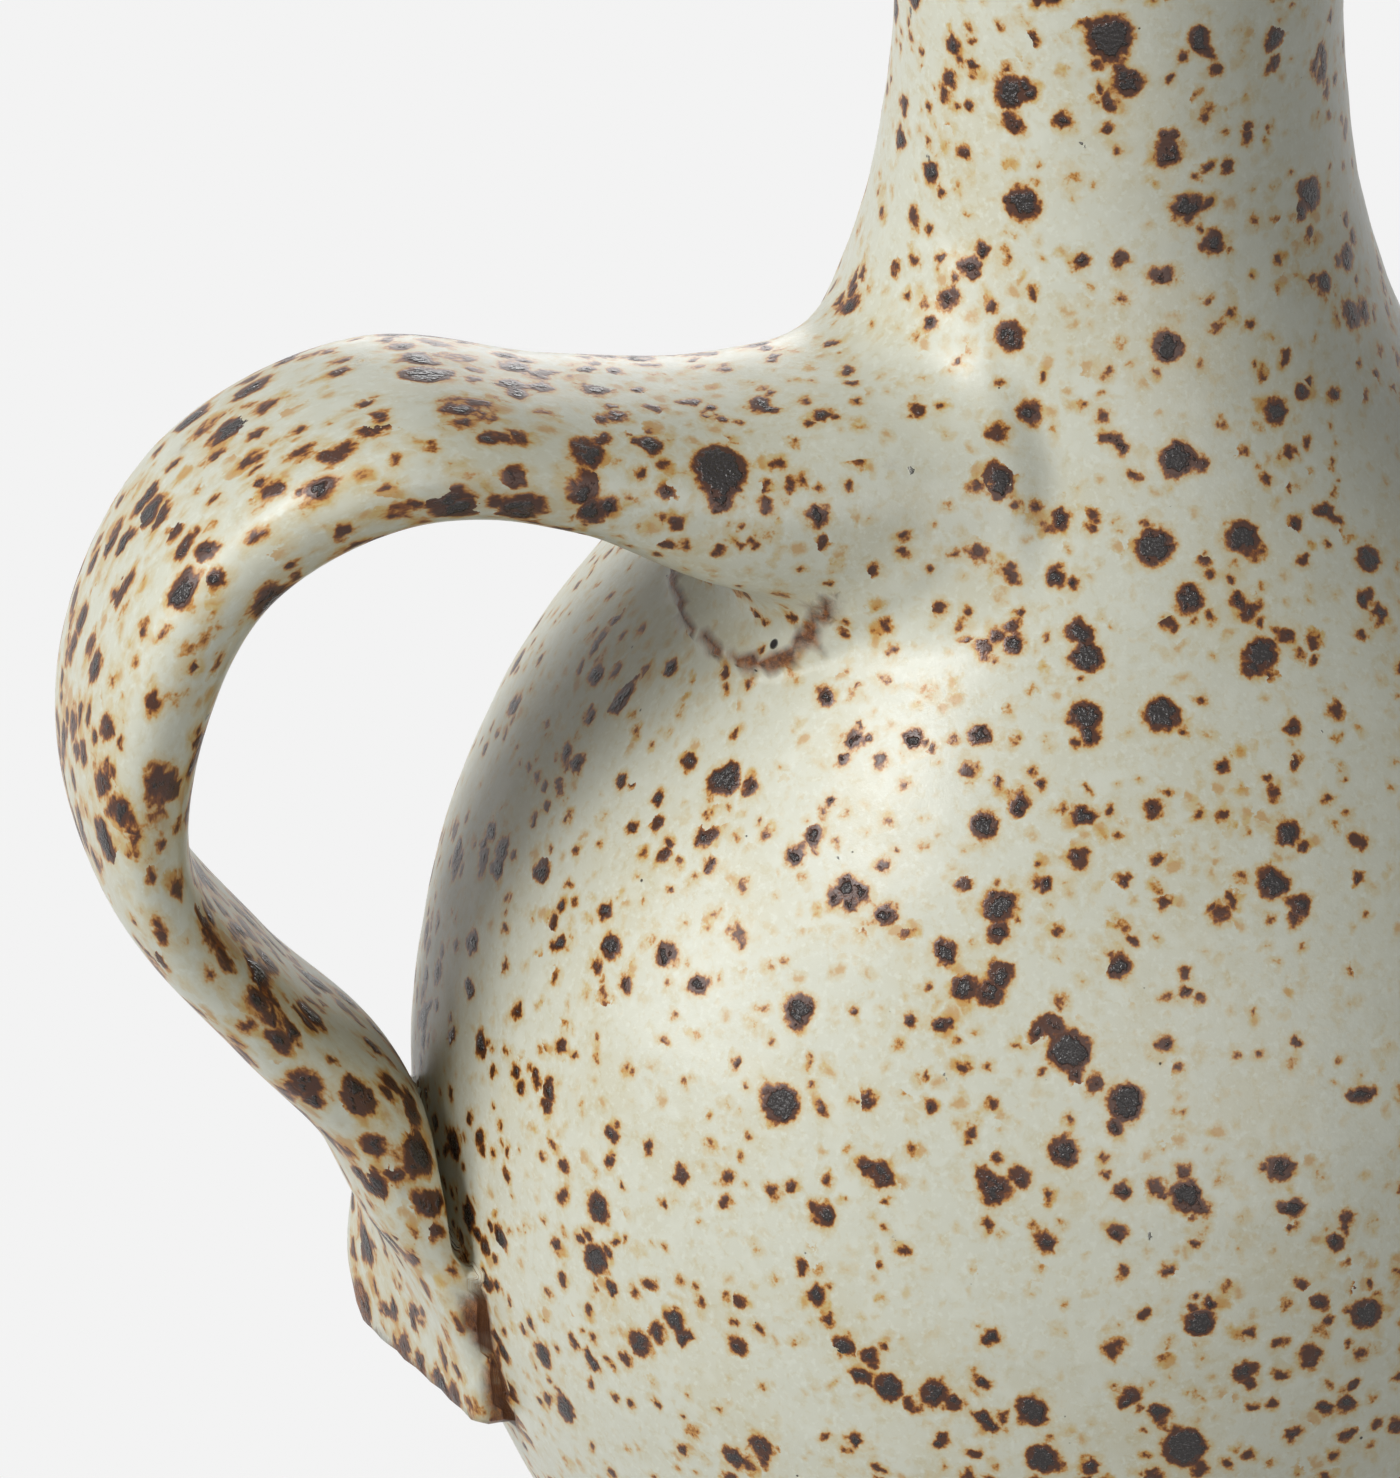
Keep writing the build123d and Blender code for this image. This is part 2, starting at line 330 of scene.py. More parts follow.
class PotForm:
    """Signed distance in mm to the glazed surface of the vase, from its settings."""

    def __init__(self, vessel, handle, glaze):
        self.v = {key: getattr(vessel, key) / MM for key in VesselSettings.__annotations__}
        self.h = {key: getattr(handle, key) / MM for key in HandleSettings.__annotations__}
        self.h["tail_lean"] = handle.tail_lean
        self.coat = glaze.thickness / MM
        self.bare = glaze.bare_foot / MM
        v = self.v
        shoulder = v["belly_line"] + v["shoulder_rise"]
        share = v["shoulder_rise"] / v["belly_rise"]
        shoulder_radius = v["belly_radius"] * math.sqrt(1 - share * share)
        slope = -v["belly_radius"] / v["belly_rise"] * share / math.sqrt(1 - share * share)
        drop = shoulder_radius - v["neck_radius"]
        rises, left = np.array(FLARE_SHAPE).T
        self.flare_z = np.append(shoulder + v["flare_rise"] * rises, v["height"])
        self.flare_r = np.append(v["neck_radius"] + drop * left, v["lip_radius"])
        self.flare_slopes = clamped_spline(self.flare_z, self.flare_r, slope, LIP_SLOPE)
        self.top = v["height"] + self.coat
        self.build_strap()

    def clay_radius(self, z):
        """Outside radius of the clay at a height."""
        v = self.v
        share = np.clip((z - v["belly_line"]) / v["belly_rise"], -0.985, 0.985)
        belly = v["belly_radius"] * np.sqrt(1 - share * share)
        flare = spline_value(np.clip(z, self.flare_z[0], self.flare_z[-1]),
                             self.flare_z, self.flare_r, self.flare_slopes)
        return np.where(z < self.flare_z[0], belly, flare)

    def outside_radius(self, z):
        """Outside radius of the glaze, with the rolled edge where it stops above the foot."""
        roll = 0.25 * np.exp(-((z - self.bare - 1.2) / 1.1) ** 2)
        return self.clay_radius(z) + self.coat + roll

    def inside_radius(self, z):
        """Radius of the glazed hollow."""
        v = self.v
        neck_share = ease(z, self.flare_z[0], self.flare_z[3])
        wall = v["belly_wall"] + (v["neck_wall"] - v["belly_wall"]) * neck_share
        return self.clay_radius(z) - wall + self.coat

    def strap_route(self):
        """Points that the strap's centre line runs through in the plane y = 0, and where its root ends."""
        h, line = self.h, self.v["belly_line"]
        belly, neck = self.v["belly_radius"], self.v["neck_radius"]
        bulge = belly + h["bulge_reach"]
        root_end, root_end_rise = neck + h["root_reach"], h["root_rise"] + h["root_climb"]
        skin = {fall: float(self.clay_radius(np.array([line - fall]))[0])
                for fall in (h["press_fall"], 0.6 * h["tail_fall"], h["tail_fall"])}
        places = [
            (h["root_start"], h["root_rise"]),
            ((h["root_start"] + root_end) / 2, h["root_rise"] + 0.25 * h["root_climb"]),
            (root_end, root_end_rise),
            ((root_end + belly) / 2, (root_end_rise + h["apex_rise"]) / 2),
            (belly + h["apex_reach"], h["apex_rise"]),
            (bulge - h["crest_tuck"], h["apex_rise"] - h["crest_drop"]),
            (bulge - h["bulge_tuck"], h["bulge_rise"] + h["bulge_half"]),
            (bulge - h["bulge_tuck"], h["bulge_rise"] - h["bulge_half"]),
            (bulge - h["calf_tuck"], h["calf_rise"]),
            (belly + h["elbow_reach"], h["elbow_rise"]),
            (belly + h["heel_reach"], -h["heel_fall"]),
            (skin[h["press_fall"]] + h["press_lift"], -h["press_fall"]),
            (skin[0.6 * h["tail_fall"]] + 0.3 * h["tail_lift"], -0.6 * h["tail_fall"]),
            (skin[h["tail_fall"]] + h["tail_lift"], -h["tail_fall"]),
        ]
        points = [(-reach, line + rise) for reach, rise in places]
        last, before = np.array(points[-1]), np.array(points[-2])
        past_cut = 8
        points.append(tuple(last + (last - before) / np.linalg.norm(last - before) * past_cut))
        return points, root_end

    def build_strap(self):
        """The strap's centre line, and its directions and sizes all along it."""
        h, line = self.h, self.v["belly_line"]
        points, root_end = self.strap_route()
        self.along, flat = rounded_line(points, 1.0)
        skew = 1 - ease(self.along, *SKEW_FADE)
        self.centre = np.stack([flat[:, 0] - h["skew_reach"] * skew, -h["root_skew"] * skew,
                                flat[:, 1] + h["skew_climb"] * skew], 1)
        way = np.gradient(self.centre, axis=0)
        self.way = way / np.linalg.norm(way, axis=1)[:, None]
        across = np.array([0.0, -1.0, 0.0])
        outward = np.cross(self.way, across)
        level = root_end - h["root_start"] + 2.4
        root = 1 - ease(self.along, level - h["root_flare"] / 2, level + h["root_flare"] / 2)
        self.tail = ease(line - self.centre[:, 2], 0, 0.75 * h["tail_fall"])
        self.tail[self.along < self.along[-1] / 2] = 0
        self.half_width = (h["width"] + root * (h["root_width"] - h["width"])
                           + self.tail * (h["tail_width"] - h["width"])) / 2
        self.half_thick = (h["thickness"] + root * (h["root_thickness"] - h["thickness"])) / 2
        crest = stretch(self.along, *CREST)
        calf = stretch(self.along, *CALF)
        self.half_thick += h["crest_swell"] * crest - h["calf_draw"] * calf
        self.half_width += 1.2 * crest
        self.lean = 0.8 * crest - 0.5 * self.tail
        self.sink = h["root_sink"] * root + 0.35 * crest
        turn = -h["tail_lean"] * self.tail
        self.wide = across * np.cos(turn)[:, None] + outward * np.sin(turn)[:, None]
        self.thick = outward * np.cos(turn)[:, None] - across * np.sin(turn)[:, None]
        self.power = 2.5 + 6.5 * self.tail ** 2
        self.root = root
        self.zone_x = 3 - h["root_start"]
        self.zone_y = h["root_skew"] + h["root_width"] / 2 + 13.5
        self.zone_z = (line - h["tail_fall"] - 10, line + h["root_rise"] + 31)

    def near_strap(self, p):
        """Which points are in the zone where the strap counts."""
        low, high = self.zone_z
        return (p[:, 0] < self.zone_x) & (np.abs(p[:, 1]) < self.zone_y) & (p[:, 2] > low) & (p[:, 2] < high)

    def on_strap(self, p):
        """Where points are on the strap: along it, across it and out of it."""
        stride, batch = 5, 40000
        coarse = self.centre[::stride]
        near = np.zeros(len(p), int)
        for start in range(0, len(p), batch):
            part = p[start:start + batch]
            gap = ((part[:, None, 0] - coarse[None, :, 0]) ** 2
                   + (part[:, None, 2] - coarse[None, :, 2]) ** 2)
            near[start:start + batch] = gap.argmin(1) * stride
        last = len(self.centre) - 1
        tries = np.clip(near[:, None] + np.arange(1 - stride, stride)[None, :], 0, last)
        gap = ((p[:, None, [0, 2]] - self.centre[tries][:, :, [0, 2]]) ** 2).sum(2)
        near = tries[np.arange(len(p)), gap.argmin(1)]
        ahead = ((p - self.centre[near]) * self.way[near]).sum(1)
        step = self.along[1] - self.along[0]
        place = np.clip(near + ahead / step, 0, last)
        low = np.minimum(place.astype(int), last - 1)
        part = place - low

        def between(values):
            share = part[:, None] if values.ndim == 2 else part
            return values[low] * (1 - share) + values[low + 1] * share

        away = p - between(self.centre)
        u = (away * between(self.wide)).sum(1)
        v = (away * between(self.thick)).sum(1)
        return place * step, u, v, between

    def strap(self, p):
        """Distance to the strap, and the place along it, across it and out of it."""
        s, u, v, between = self.on_strap(p)
        u, v = u - between(self.lean), v + between(self.sink)
        a = between(self.half_width) + self.coat
        b = between(self.half_thick) + self.coat
        n = between(self.power)
        wobble = 0.35 * np.sin(s / 21 + 0.6) + 0.25 * np.sin(s / 9.5)
        a = a + wobble * (1 - between(self.root))
        torn = between(self.tail) * ease(u / a, 0.5, 0.85)
        a = a + self.h["crumble"] * torn * (soft_noise(p, 3.4, 41) + 0.6 * soft_noise(p, 1.9, 42))
        uu, vv = np.abs(u) / a + 1e-6, np.abs(v) / b + 1e-6
        g = (uu ** n + vv ** n) ** (1 / n)
        slope = g ** (1 - n) * np.hypot(uu ** (n - 1) / a, vv ** (n - 1) / b)
        d = (g - 1) / slope
        late = s > self.along[-1] * 0.7
        d = np.where(late, self.cut_tail(p, d), d)
        return self.open_slot(p, d, u / a, late), s, u, v

    def cut_tail(self, p, d):
        """Distance to the strap when its tail is cut off level, a little unevenly."""
        cut = self.v["belly_line"] - self.h["tail_fall"] - self.coat
        below = cut - p[:, 2] + 0.5 * soft_noise(p, 4.0, 5)
        return smooth_max(d, below, 0.8)

    def open_slot(self, p, d, side, late):
        """Distance to the strap when its front part stands off the belly at the heel."""
        fall = self.v["belly_line"] - p[:, 2]
        share = ease(side, -0.55, -0.25) * ease(fall, -14, -4) * (1 - ease(fall, 4, 12)) * late
        gap = self.h["slot_gap"] * share - self.vessel(p) - 8 * (1 - ease(share, 0, 0.5))
        return np.where(share > 0, smooth_max(d, gap, 1.2), d)

    def vessel(self, p):
        """Distance to the outside of the vessel."""
        rho = np.hypot(p[:, 0], p[:, 1])
        z = p[:, 2]
        slope = (self.outside_radius(z + 0.5) - self.outside_radius(z - 0.5))
        return (rho - self.outside_radius(z)) / np.sqrt(1 + slope * slope)

    def throwing(self, p):
        """Soft throwing rings and a slight wander from the round, in mm, inwards."""
        turn = np.arctan2(p[:, 1], p[:, 0])
        z = p[:, 2]
        drift = z + 2.3 * turn / math.pi
        rings = 0.025 * np.sin(drift * 2 * math.pi / 7.3 + 1.5 * np.sin(z / 31))
        rings += 0.05 * np.sin(drift * 2 * math.pi / 19 + 0.8)
        wander = 0.18 * np.sin(2 * turn + z / 60) + 0.10 * np.sin(3 * turn - z / 37)
        return rings + wander + 0.15 * soft_noise(p, 23.0, 3) - 0.1

    def over_root(self, p):
        """Height above the strap's root."""
        return p[:, 2] - self.v["belly_line"] - self.h["root_rise"]

    def pad(self, p, vessel):
        """The clay smeared under the root of the strap."""
        rise = self.over_root(p) - 2
        edge = self.pad_edge(p)
        low = 1 - ease(rise, -6, 8)
        roll = 0.4 * np.exp(-((edge + 1.5) / 1.3) ** 2) * low
        return smooth_max(vessel - self.h["pad_lift"] * low - roll, edge, 1.0)

    def pad_edge(self, p):
        """Distance along the belly from the rim of the smeared clay, less than 0 inside it."""
        rho = np.hypot(p[:, 0], p[:, 1])
        round_belly = np.arctan2(-p[:, 1], -p[:, 0]) * np.maximum(rho, 20)
        side = (round_belly - self.h["root_skew"]) / self.h["pad_width"]
        rise = self.over_root(p) - 2
        rise = np.where(rise < 0, rise / self.h["pad_height"], rise / 30)
        ragged = 0.8 * soft_noise(p, 6.0, 11) + 0.4 * soft_noise(p, 2.6, 12)
        square = 2.6
        out = (np.abs(side) ** square + np.abs(rise) ** square) ** (1 / square)
        return (out - 1) * self.h["pad_height"] + ragged

    def outside(self, p):
        """Distance to the outside of the glazed pot, with its handle."""
        vessel = self.vessel(p)
        close = np.abs(vessel) < 12
        if close.any():
            vessel[close] += self.throwing(p[close])
        total = vessel.copy()
        reach = self.near_strap(p)
        if reach.any():
            q = p[reach]
            d, s = self.strap(q)[:2]
            base = vessel[reach]
            padded = smooth_min(base, self.pad(q, base), 0.8)
            k_root = self.h["root_blend"] * (1 - ease(s, 45, 75)) + self.h["tail_blend"]
            k = np.where(s < self.along[-1] * 0.5, k_root, self.h["tail_blend"])
            total[reach] = smooth_min(padded, d, k * ease(self.zone_x - q[:, 0], 0, 8))
        return total

    def __call__(self, p):
        """Distance to the glazed wall: outside, lip and the hollow of the neck."""
        d = self.outside(p)
        rho = np.hypot(p[:, 0], p[:, 1])
        hollow = self.inside_radius(p[:, 2]) - rho
        high = (rho < 60) & (p[:, 2] > SKIN_HOLLOW)
        if high.any():
            lip_round = 3.6
            d[high] = smooth_max(d[high], hollow[high], lip_round)
            d[high] = smooth_max(d[high], p[high][:, 2] - self.top, lip_round)
        return d


# ---------------------------------------------------------------- meshing


def sample_grid(form, low, high, step, offset):
    """The form's distances on a grid: exact near its surface, and a plain guess elsewhere."""
    axes = [a + step * np.arange(int((b - a) / step) + 2) for a, b in zip(low, high)]
    plane = np.stack(np.meshgrid(axes[0], axes[1], indexing="ij"), -1).reshape(-1, 2)
    rho = np.hypot(plane[:, 0], plane[:, 1])
    values = np.empty([len(axis) for axis in axes], np.float32)
    for k, z in enumerate(axes[2]):
        spots = np.column_stack([plane, np.full(len(plane), z)])
        row = rho - form.outside_radius(np.full(1, z))[0]
        keep = (np.abs(row) < 6) | form.near_strap(spots) | ((z > SKIN_HOLLOW) & (rho < 40))
        if z > form.top + 2:
            row[:] = 5
        if keep.any():
            row[keep] = form(spots[keep])
        values[:, :, k] = (row + offset).reshape(len(axes[0]), len(axes[1]))
    return values


def net_points(values, cells):
    """For each cell, in grid steps, the middle of the places where the surface cuts its edges."""
    place, weight = np.zeros((len(cells), 3)), np.zeros(len(cells))
    for a, b in combinations(CORNERS, 2):
        if np.abs(a - b).sum() != 1:
            continue
        va = values[tuple((cells + a).T)].astype(float)
        vb = values[tuple((cells + b).T)].astype(float)
        cross = (va < 0) != (vb < 0)
        t = np.where(cross, va / np.where(va == vb, 1, va - vb), 0)
        place += np.where(cross[:, None], a + t[:, None] * (b - a), 0)
        weight += cross
    return cells + place / weight[:, None]


def net_quads(inside, index):
    """A quad round each grid edge that the surface cuts, facing outwards."""
    quads = []
    for axis in range(3):
        one, u, v = np.roll(np.eye(3, dtype=int), -axis, axis=0)
        start = inside[tuple(slice(0, c - o) for c, o in zip(inside.shape, one))]
        end = inside[tuple(slice(o, c) for c, o in zip(inside.shape, one))]
        edges = np.argwhere(start != end)
        edges = edges[(edges[:, (axis + 1) % 3] > 0) & (edges[:, (axis + 2) % 3] > 0)]
        edges = edges[(edges < np.array(index.shape)).all(1)]
        face = np.stack([index[tuple((edges - back).T)] for back in (u + v, v, 0 * u, u)], 1)
        leaves = inside[tuple(edges.T)]
        face[~leaves] = face[~leaves][:, ::-1]
        quads.append(face[(face >= 0).all(1)])
    return np.vstack(quads)


def surface_net(form, low, high, step, offset):
    """Wraps the form's surface in quads: one vertex in each grid cell that it passes through."""
    values = sample_grid(form, low, high, step, offset)
    inside = values < 0
    ends = np.array(inside.shape) - 1
    total = sum(inside[tuple(slice(c, end + c) for c, end in zip(corner, ends))].astype(np.int8)
                for corner in CORNERS)
    mixed = (total > 0) & (total < len(CORNERS))
    cells = np.argwhere(mixed)
    index = np.full(mixed.shape, -1, np.int64)
    index[mixed] = np.arange(len(cells))
    return np.array(low) + step * net_points(values, cells), net_quads(inside, index)


def settle(form, points, quads, offset, rounds):
    """Moves the net's vertices onto the surface and evens them out along it."""
    pairs = np.vstack([quads[:, [0, 1]], quads[:, [1, 2]], quads[:, [2, 3]], quads[:, [3, 0]]])
    count = sum(np.bincount(pairs[:, k], minlength=len(points)) for k in range(2))
    small = 0.05

    def gradient(p, here):
        return np.stack([(form(p + small * np.eye(3)[k]) + offset - here) / small for k in range(3)], 1)

    for turn in range(rounds + 1):
        if turn:
            total = np.stack([np.bincount(pairs[:, 0], points[pairs[:, 1], k], len(points))
                              + np.bincount(pairs[:, 1], points[pairs[:, 0], k], len(points))
                              for k in range(3)], 1)
            points = points + 0.6 * (total / np.maximum(count, 1)[:, None] - points)
        for _ in range(2 if turn == rounds else 1):
            here = form(points) + offset
            slope = gradient(points, here)
            move = here[:, None] * slope / np.maximum((slope ** 2).sum(1), 0.3)[:, None]
            size = np.linalg.norm(move, axis=1)[:, None]
            points = points - move * np.minimum(1, 1.0 / np.maximum(size, 1e-9))
    return points


def new_object(name, mesh):
    """An object at the origin, in the scene."""
    piece = bpy.data.objects.new(name, mesh)
    bpy.context.scene.collection.objects.link(piece)
    return piece


def cut_open(bm, height, radius, depth):
    """Cuts the skin at a height and drops what is below it, to that depth, within a radius of the axis."""

    def reached():
        centres = [(f, f.calc_center_median()) for f in bm.faces]
        return [(f, c.z) for f, c in centres if math.hypot(*c.xy) < radius and c.z > height - depth]

    near = [f for f, z in reached()]
    parts = list({v for f in near for v in f.verts}) + list({e for f in near for e in f.edges}) + near
    bmesh.ops.bisect_plane(bm, geom=parts, plane_co=(0, 0, height), plane_no=(0, 0, 1), dist=1e-7)
    bmesh.ops.delete(bm, geom=[f for f, z in reached() if z < height], context="FACES")


def rim_loops(bm, height, radius):
    """Open edges at a height, within a radius of the axis."""
    return [e for e in bm.edges if len(e.link_faces) == 1
            and all(abs(v.co.z - height) < 1e-5 and math.hypot(*v.co.xy) < radius for v in e.verts)]


def lathe(outline, turns):
    """Turns an outline of (radius, height) points, bottom axis to top axis or closed, into a mesh."""
    outline = np.asarray(outline, float)
    closed = outline[0][0] > 1e-6
    angle = 2 * math.pi * (np.arange(turns) + 0.5) / turns
    points, rows = [], []
    for radius, z in outline:
        if radius <= 1e-6:
            rows.append(np.full(turns, len(points)))
            points.append((0, 0, z))
        else:
            rows.append(len(points) + np.arange(turns))
            points += [(radius * math.cos(a), radius * math.sin(a), z) for a in angle]
    if closed:
        rows.append(rows[0])
    faces = []
    for low, high in zip(rows, rows[1:]):
        for k in range(turns):
            ring = [low[k], low[(k + 1) % turns], high[(k + 1) % turns], high[k]]
            ring = [int(v) for i, v in enumerate(ring) if v != ring[i - 1]]
            if len(ring) > 2:
                faces.append(ring)
    mesh = bpy.data.meshes.new("turned")
    mesh.from_pydata([[c * MM for c in p] for p in points], [], faces)
    return mesh


def face_outwards(mesh):
    """Turns the faces of a closed mesh outwards."""
    bm = bmesh.new()
    bm.from_mesh(mesh)
    bmesh.ops.recalc_face_normals(bm, faces=bm.faces)
    bm.to_mesh(mesh)
    bm.free()


def arc_points(centre, radius, start, end, count):
    """Points round an arc, angles in degrees."""
    turn = np.radians(np.linspace(start, end, count))
    return [(centre[0] + radius * math.cos(t), centre[1] + radius * math.sin(t)) for t in turn]


# ---------------------------------------------------------------- node helpers


class Nodes:
    """Short calls for building a node tree."""

    def __init__(self, tree):
        self.tree = tree
        self.column = 0

    def add(self, kind, inputs=None, **values):
        """A new node, with its inputs and its settings given by name."""
        node = self.tree.nodes.new(kind)
        self.column += 1
        node.location = (180 * (self.column % 12), -240 * (self.column // 12))
        for key, value in values.items():
            setattr(node, key, value)
        for key, value in (inputs or {}).items():
            self.put(node.inputs[key], value)
        return node

    def put(self, socket, value):
        """Links the socket to another one, or sets its value."""
        if isinstance(value, bpy.types.NodeSocket):
            self.tree.links.new(value, socket)
        elif isinstance(value, (tuple, list)) and len(value) == 3 and socket.type == "RGBA":
            socket.default_value = (*value, 1.0)
        else:
            socket.default_value = value

    def math(self, operation, a, b=None, c=None, clamp=False):
        """The result of a sum on numbers."""
        node = self.add("ShaderNodeMath", operation=operation, use_clamp=clamp)
        for socket, value in zip(node.inputs, (a, b, c)):
            if value is not None:
                self.put(socket, value)
        return node.outputs[0]

    def vector(self, operation, a, b=None, scale=None):
        """The result of a sum on vectors."""
        node = self.add("ShaderNodeVectorMath", operation=operation)
        self.put(node.inputs[0], a)
        if b is not None:
            self.put(node.inputs[1], b)
        if scale is not None:
            self.put(node.inputs["Scale"], scale)
        return node.outputs["Value" if operation in ("LENGTH", "DOT_PRODUCT", "DISTANCE") else "Vector"]

    def noise(self, place, size, detail=2.0, roughness=0.5):
        """Noise with features of a size in metres."""
        inputs = {"Vector": place, "Scale": 1 / size, "Detail": detail, "Roughness": roughness}
        return self.add("ShaderNodeTexNoise", inputs)

    def fit(self, value, low, high, to_low=0.0, to_high=1.0, smooth=True):
        """The value carried from one range to another, and held at its ends."""
        node = self.add("ShaderNodeMapRange", {"Value": value, "From Min": low, "From Max": high,
                                               "To Min": to_low, "To Max": to_high})
        node.interpolation_type = "SMOOTHSTEP" if smooth else "LINEAR"
        return node.outputs["Result"]

    def mix(self, share, a, b):
        """Colour a with a share of colour b."""
        node = self.add("ShaderNodeMix", data_type="RGBA")
        self.put(node.inputs[0], share)
        self.put(node.inputs[6], a)
        self.put(node.inputs[7], b)
        return node.outputs[2]


def new_group(name, inputs, outputs):
    """An empty shader group with named sockets: (name, kind, default)."""
    tree = bpy.data.node_groups.new(name, "ShaderNodeTree")
    for label, kind, default in inputs:
        socket = tree.interface.new_socket(label, in_out="INPUT", socket_type=kind)
        if default is not None:
            socket.default_value = default
    for label, kind in outputs:
        tree.interface.new_socket(label, in_out="OUTPUT", socket_type=kind)
    nodes = Nodes(tree)
    return tree, nodes, nodes.add("NodeGroupInput").outputs, nodes.add("NodeGroupOutput").inputs


def use_group(nodes, tree, **inputs):
    """A group node with its inputs set; gives its outputs."""
    node = nodes.add("ShaderNodeGroup")
    node.node_tree = tree
    for key, value in inputs.items():
        nodes.put(node.inputs[key], value)
    return node.outputs


def seen_directly(n):
    """1 for rays from the camera, also mirrored or let through; 0 for those that carry light."""
    light = n.add("ShaderNodeLightPath").outputs
    seen = n.math("MAXIMUM", light["Is Camera Ray"], light["Is Glossy Ray"])
    return n.math("MAXIMUM", seen, light["Is Transmission Ray"])


def grey(level):
    """A grey as a colour or vector."""
    return (level, level, level)


FLOAT, VECTOR, COLOUR = "NodeSocketFloat", "NodeSocketVector", "NodeSocketColor"


def spot_group():
    """Scattered round spots: how deep inside a spot each place is, in mm."""
    inputs = [("Place", VECTOR, None), ("Shift", FLOAT, 0.0), ("Spacing", FLOAT, 0.006),
              ("Smallest", FLOAT, 0.6), ("Largest", FLOAT, 1.4), ("Share", FLOAT, 0.5)]
    tree, n, given, out = new_group("Scattered spots", inputs, [("Depth", FLOAT)])
    moved = n.vector("ADD", given["Place"], n.add("ShaderNodeCombineXYZ", {
        "X": given["Shift"], "Y": n.math("MULTIPLY", given["Shift"], 1.7), "Z": given["Shift"]}).outputs[0])
    cells = n.add("ShaderNodeTexVoronoi", {"Vector": moved, "Scale": n.math("DIVIDE", 1.0, given["Spacing"]),
                                           "Randomness": 0.9})
    pick = n.add("ShaderNodeSeparateColor", {"Color": cells.outputs["Color"]}).outputs
    away = n.math("MULTIPLY", cells.outputs["Distance"], n.math("MULTIPLY", given["Spacing"], 1000.0))
    size = n.math("POWER", pick[1], 1.6)
    radius = n.math("MULTIPLY_ADD", n.math("SUBTRACT", given["Largest"], given["Smallest"]), size,
                    given["Smallest"])
    there = n.math("LESS_THAN", pick[0], given["Share"])
    radius = n.math("SUBTRACT", n.math("MULTIPLY", n.math("ADD", radius, 3.0), there), 3.0)
    n.put(out["Depth"], n.math("SUBTRACT", radius, away))
    return tree


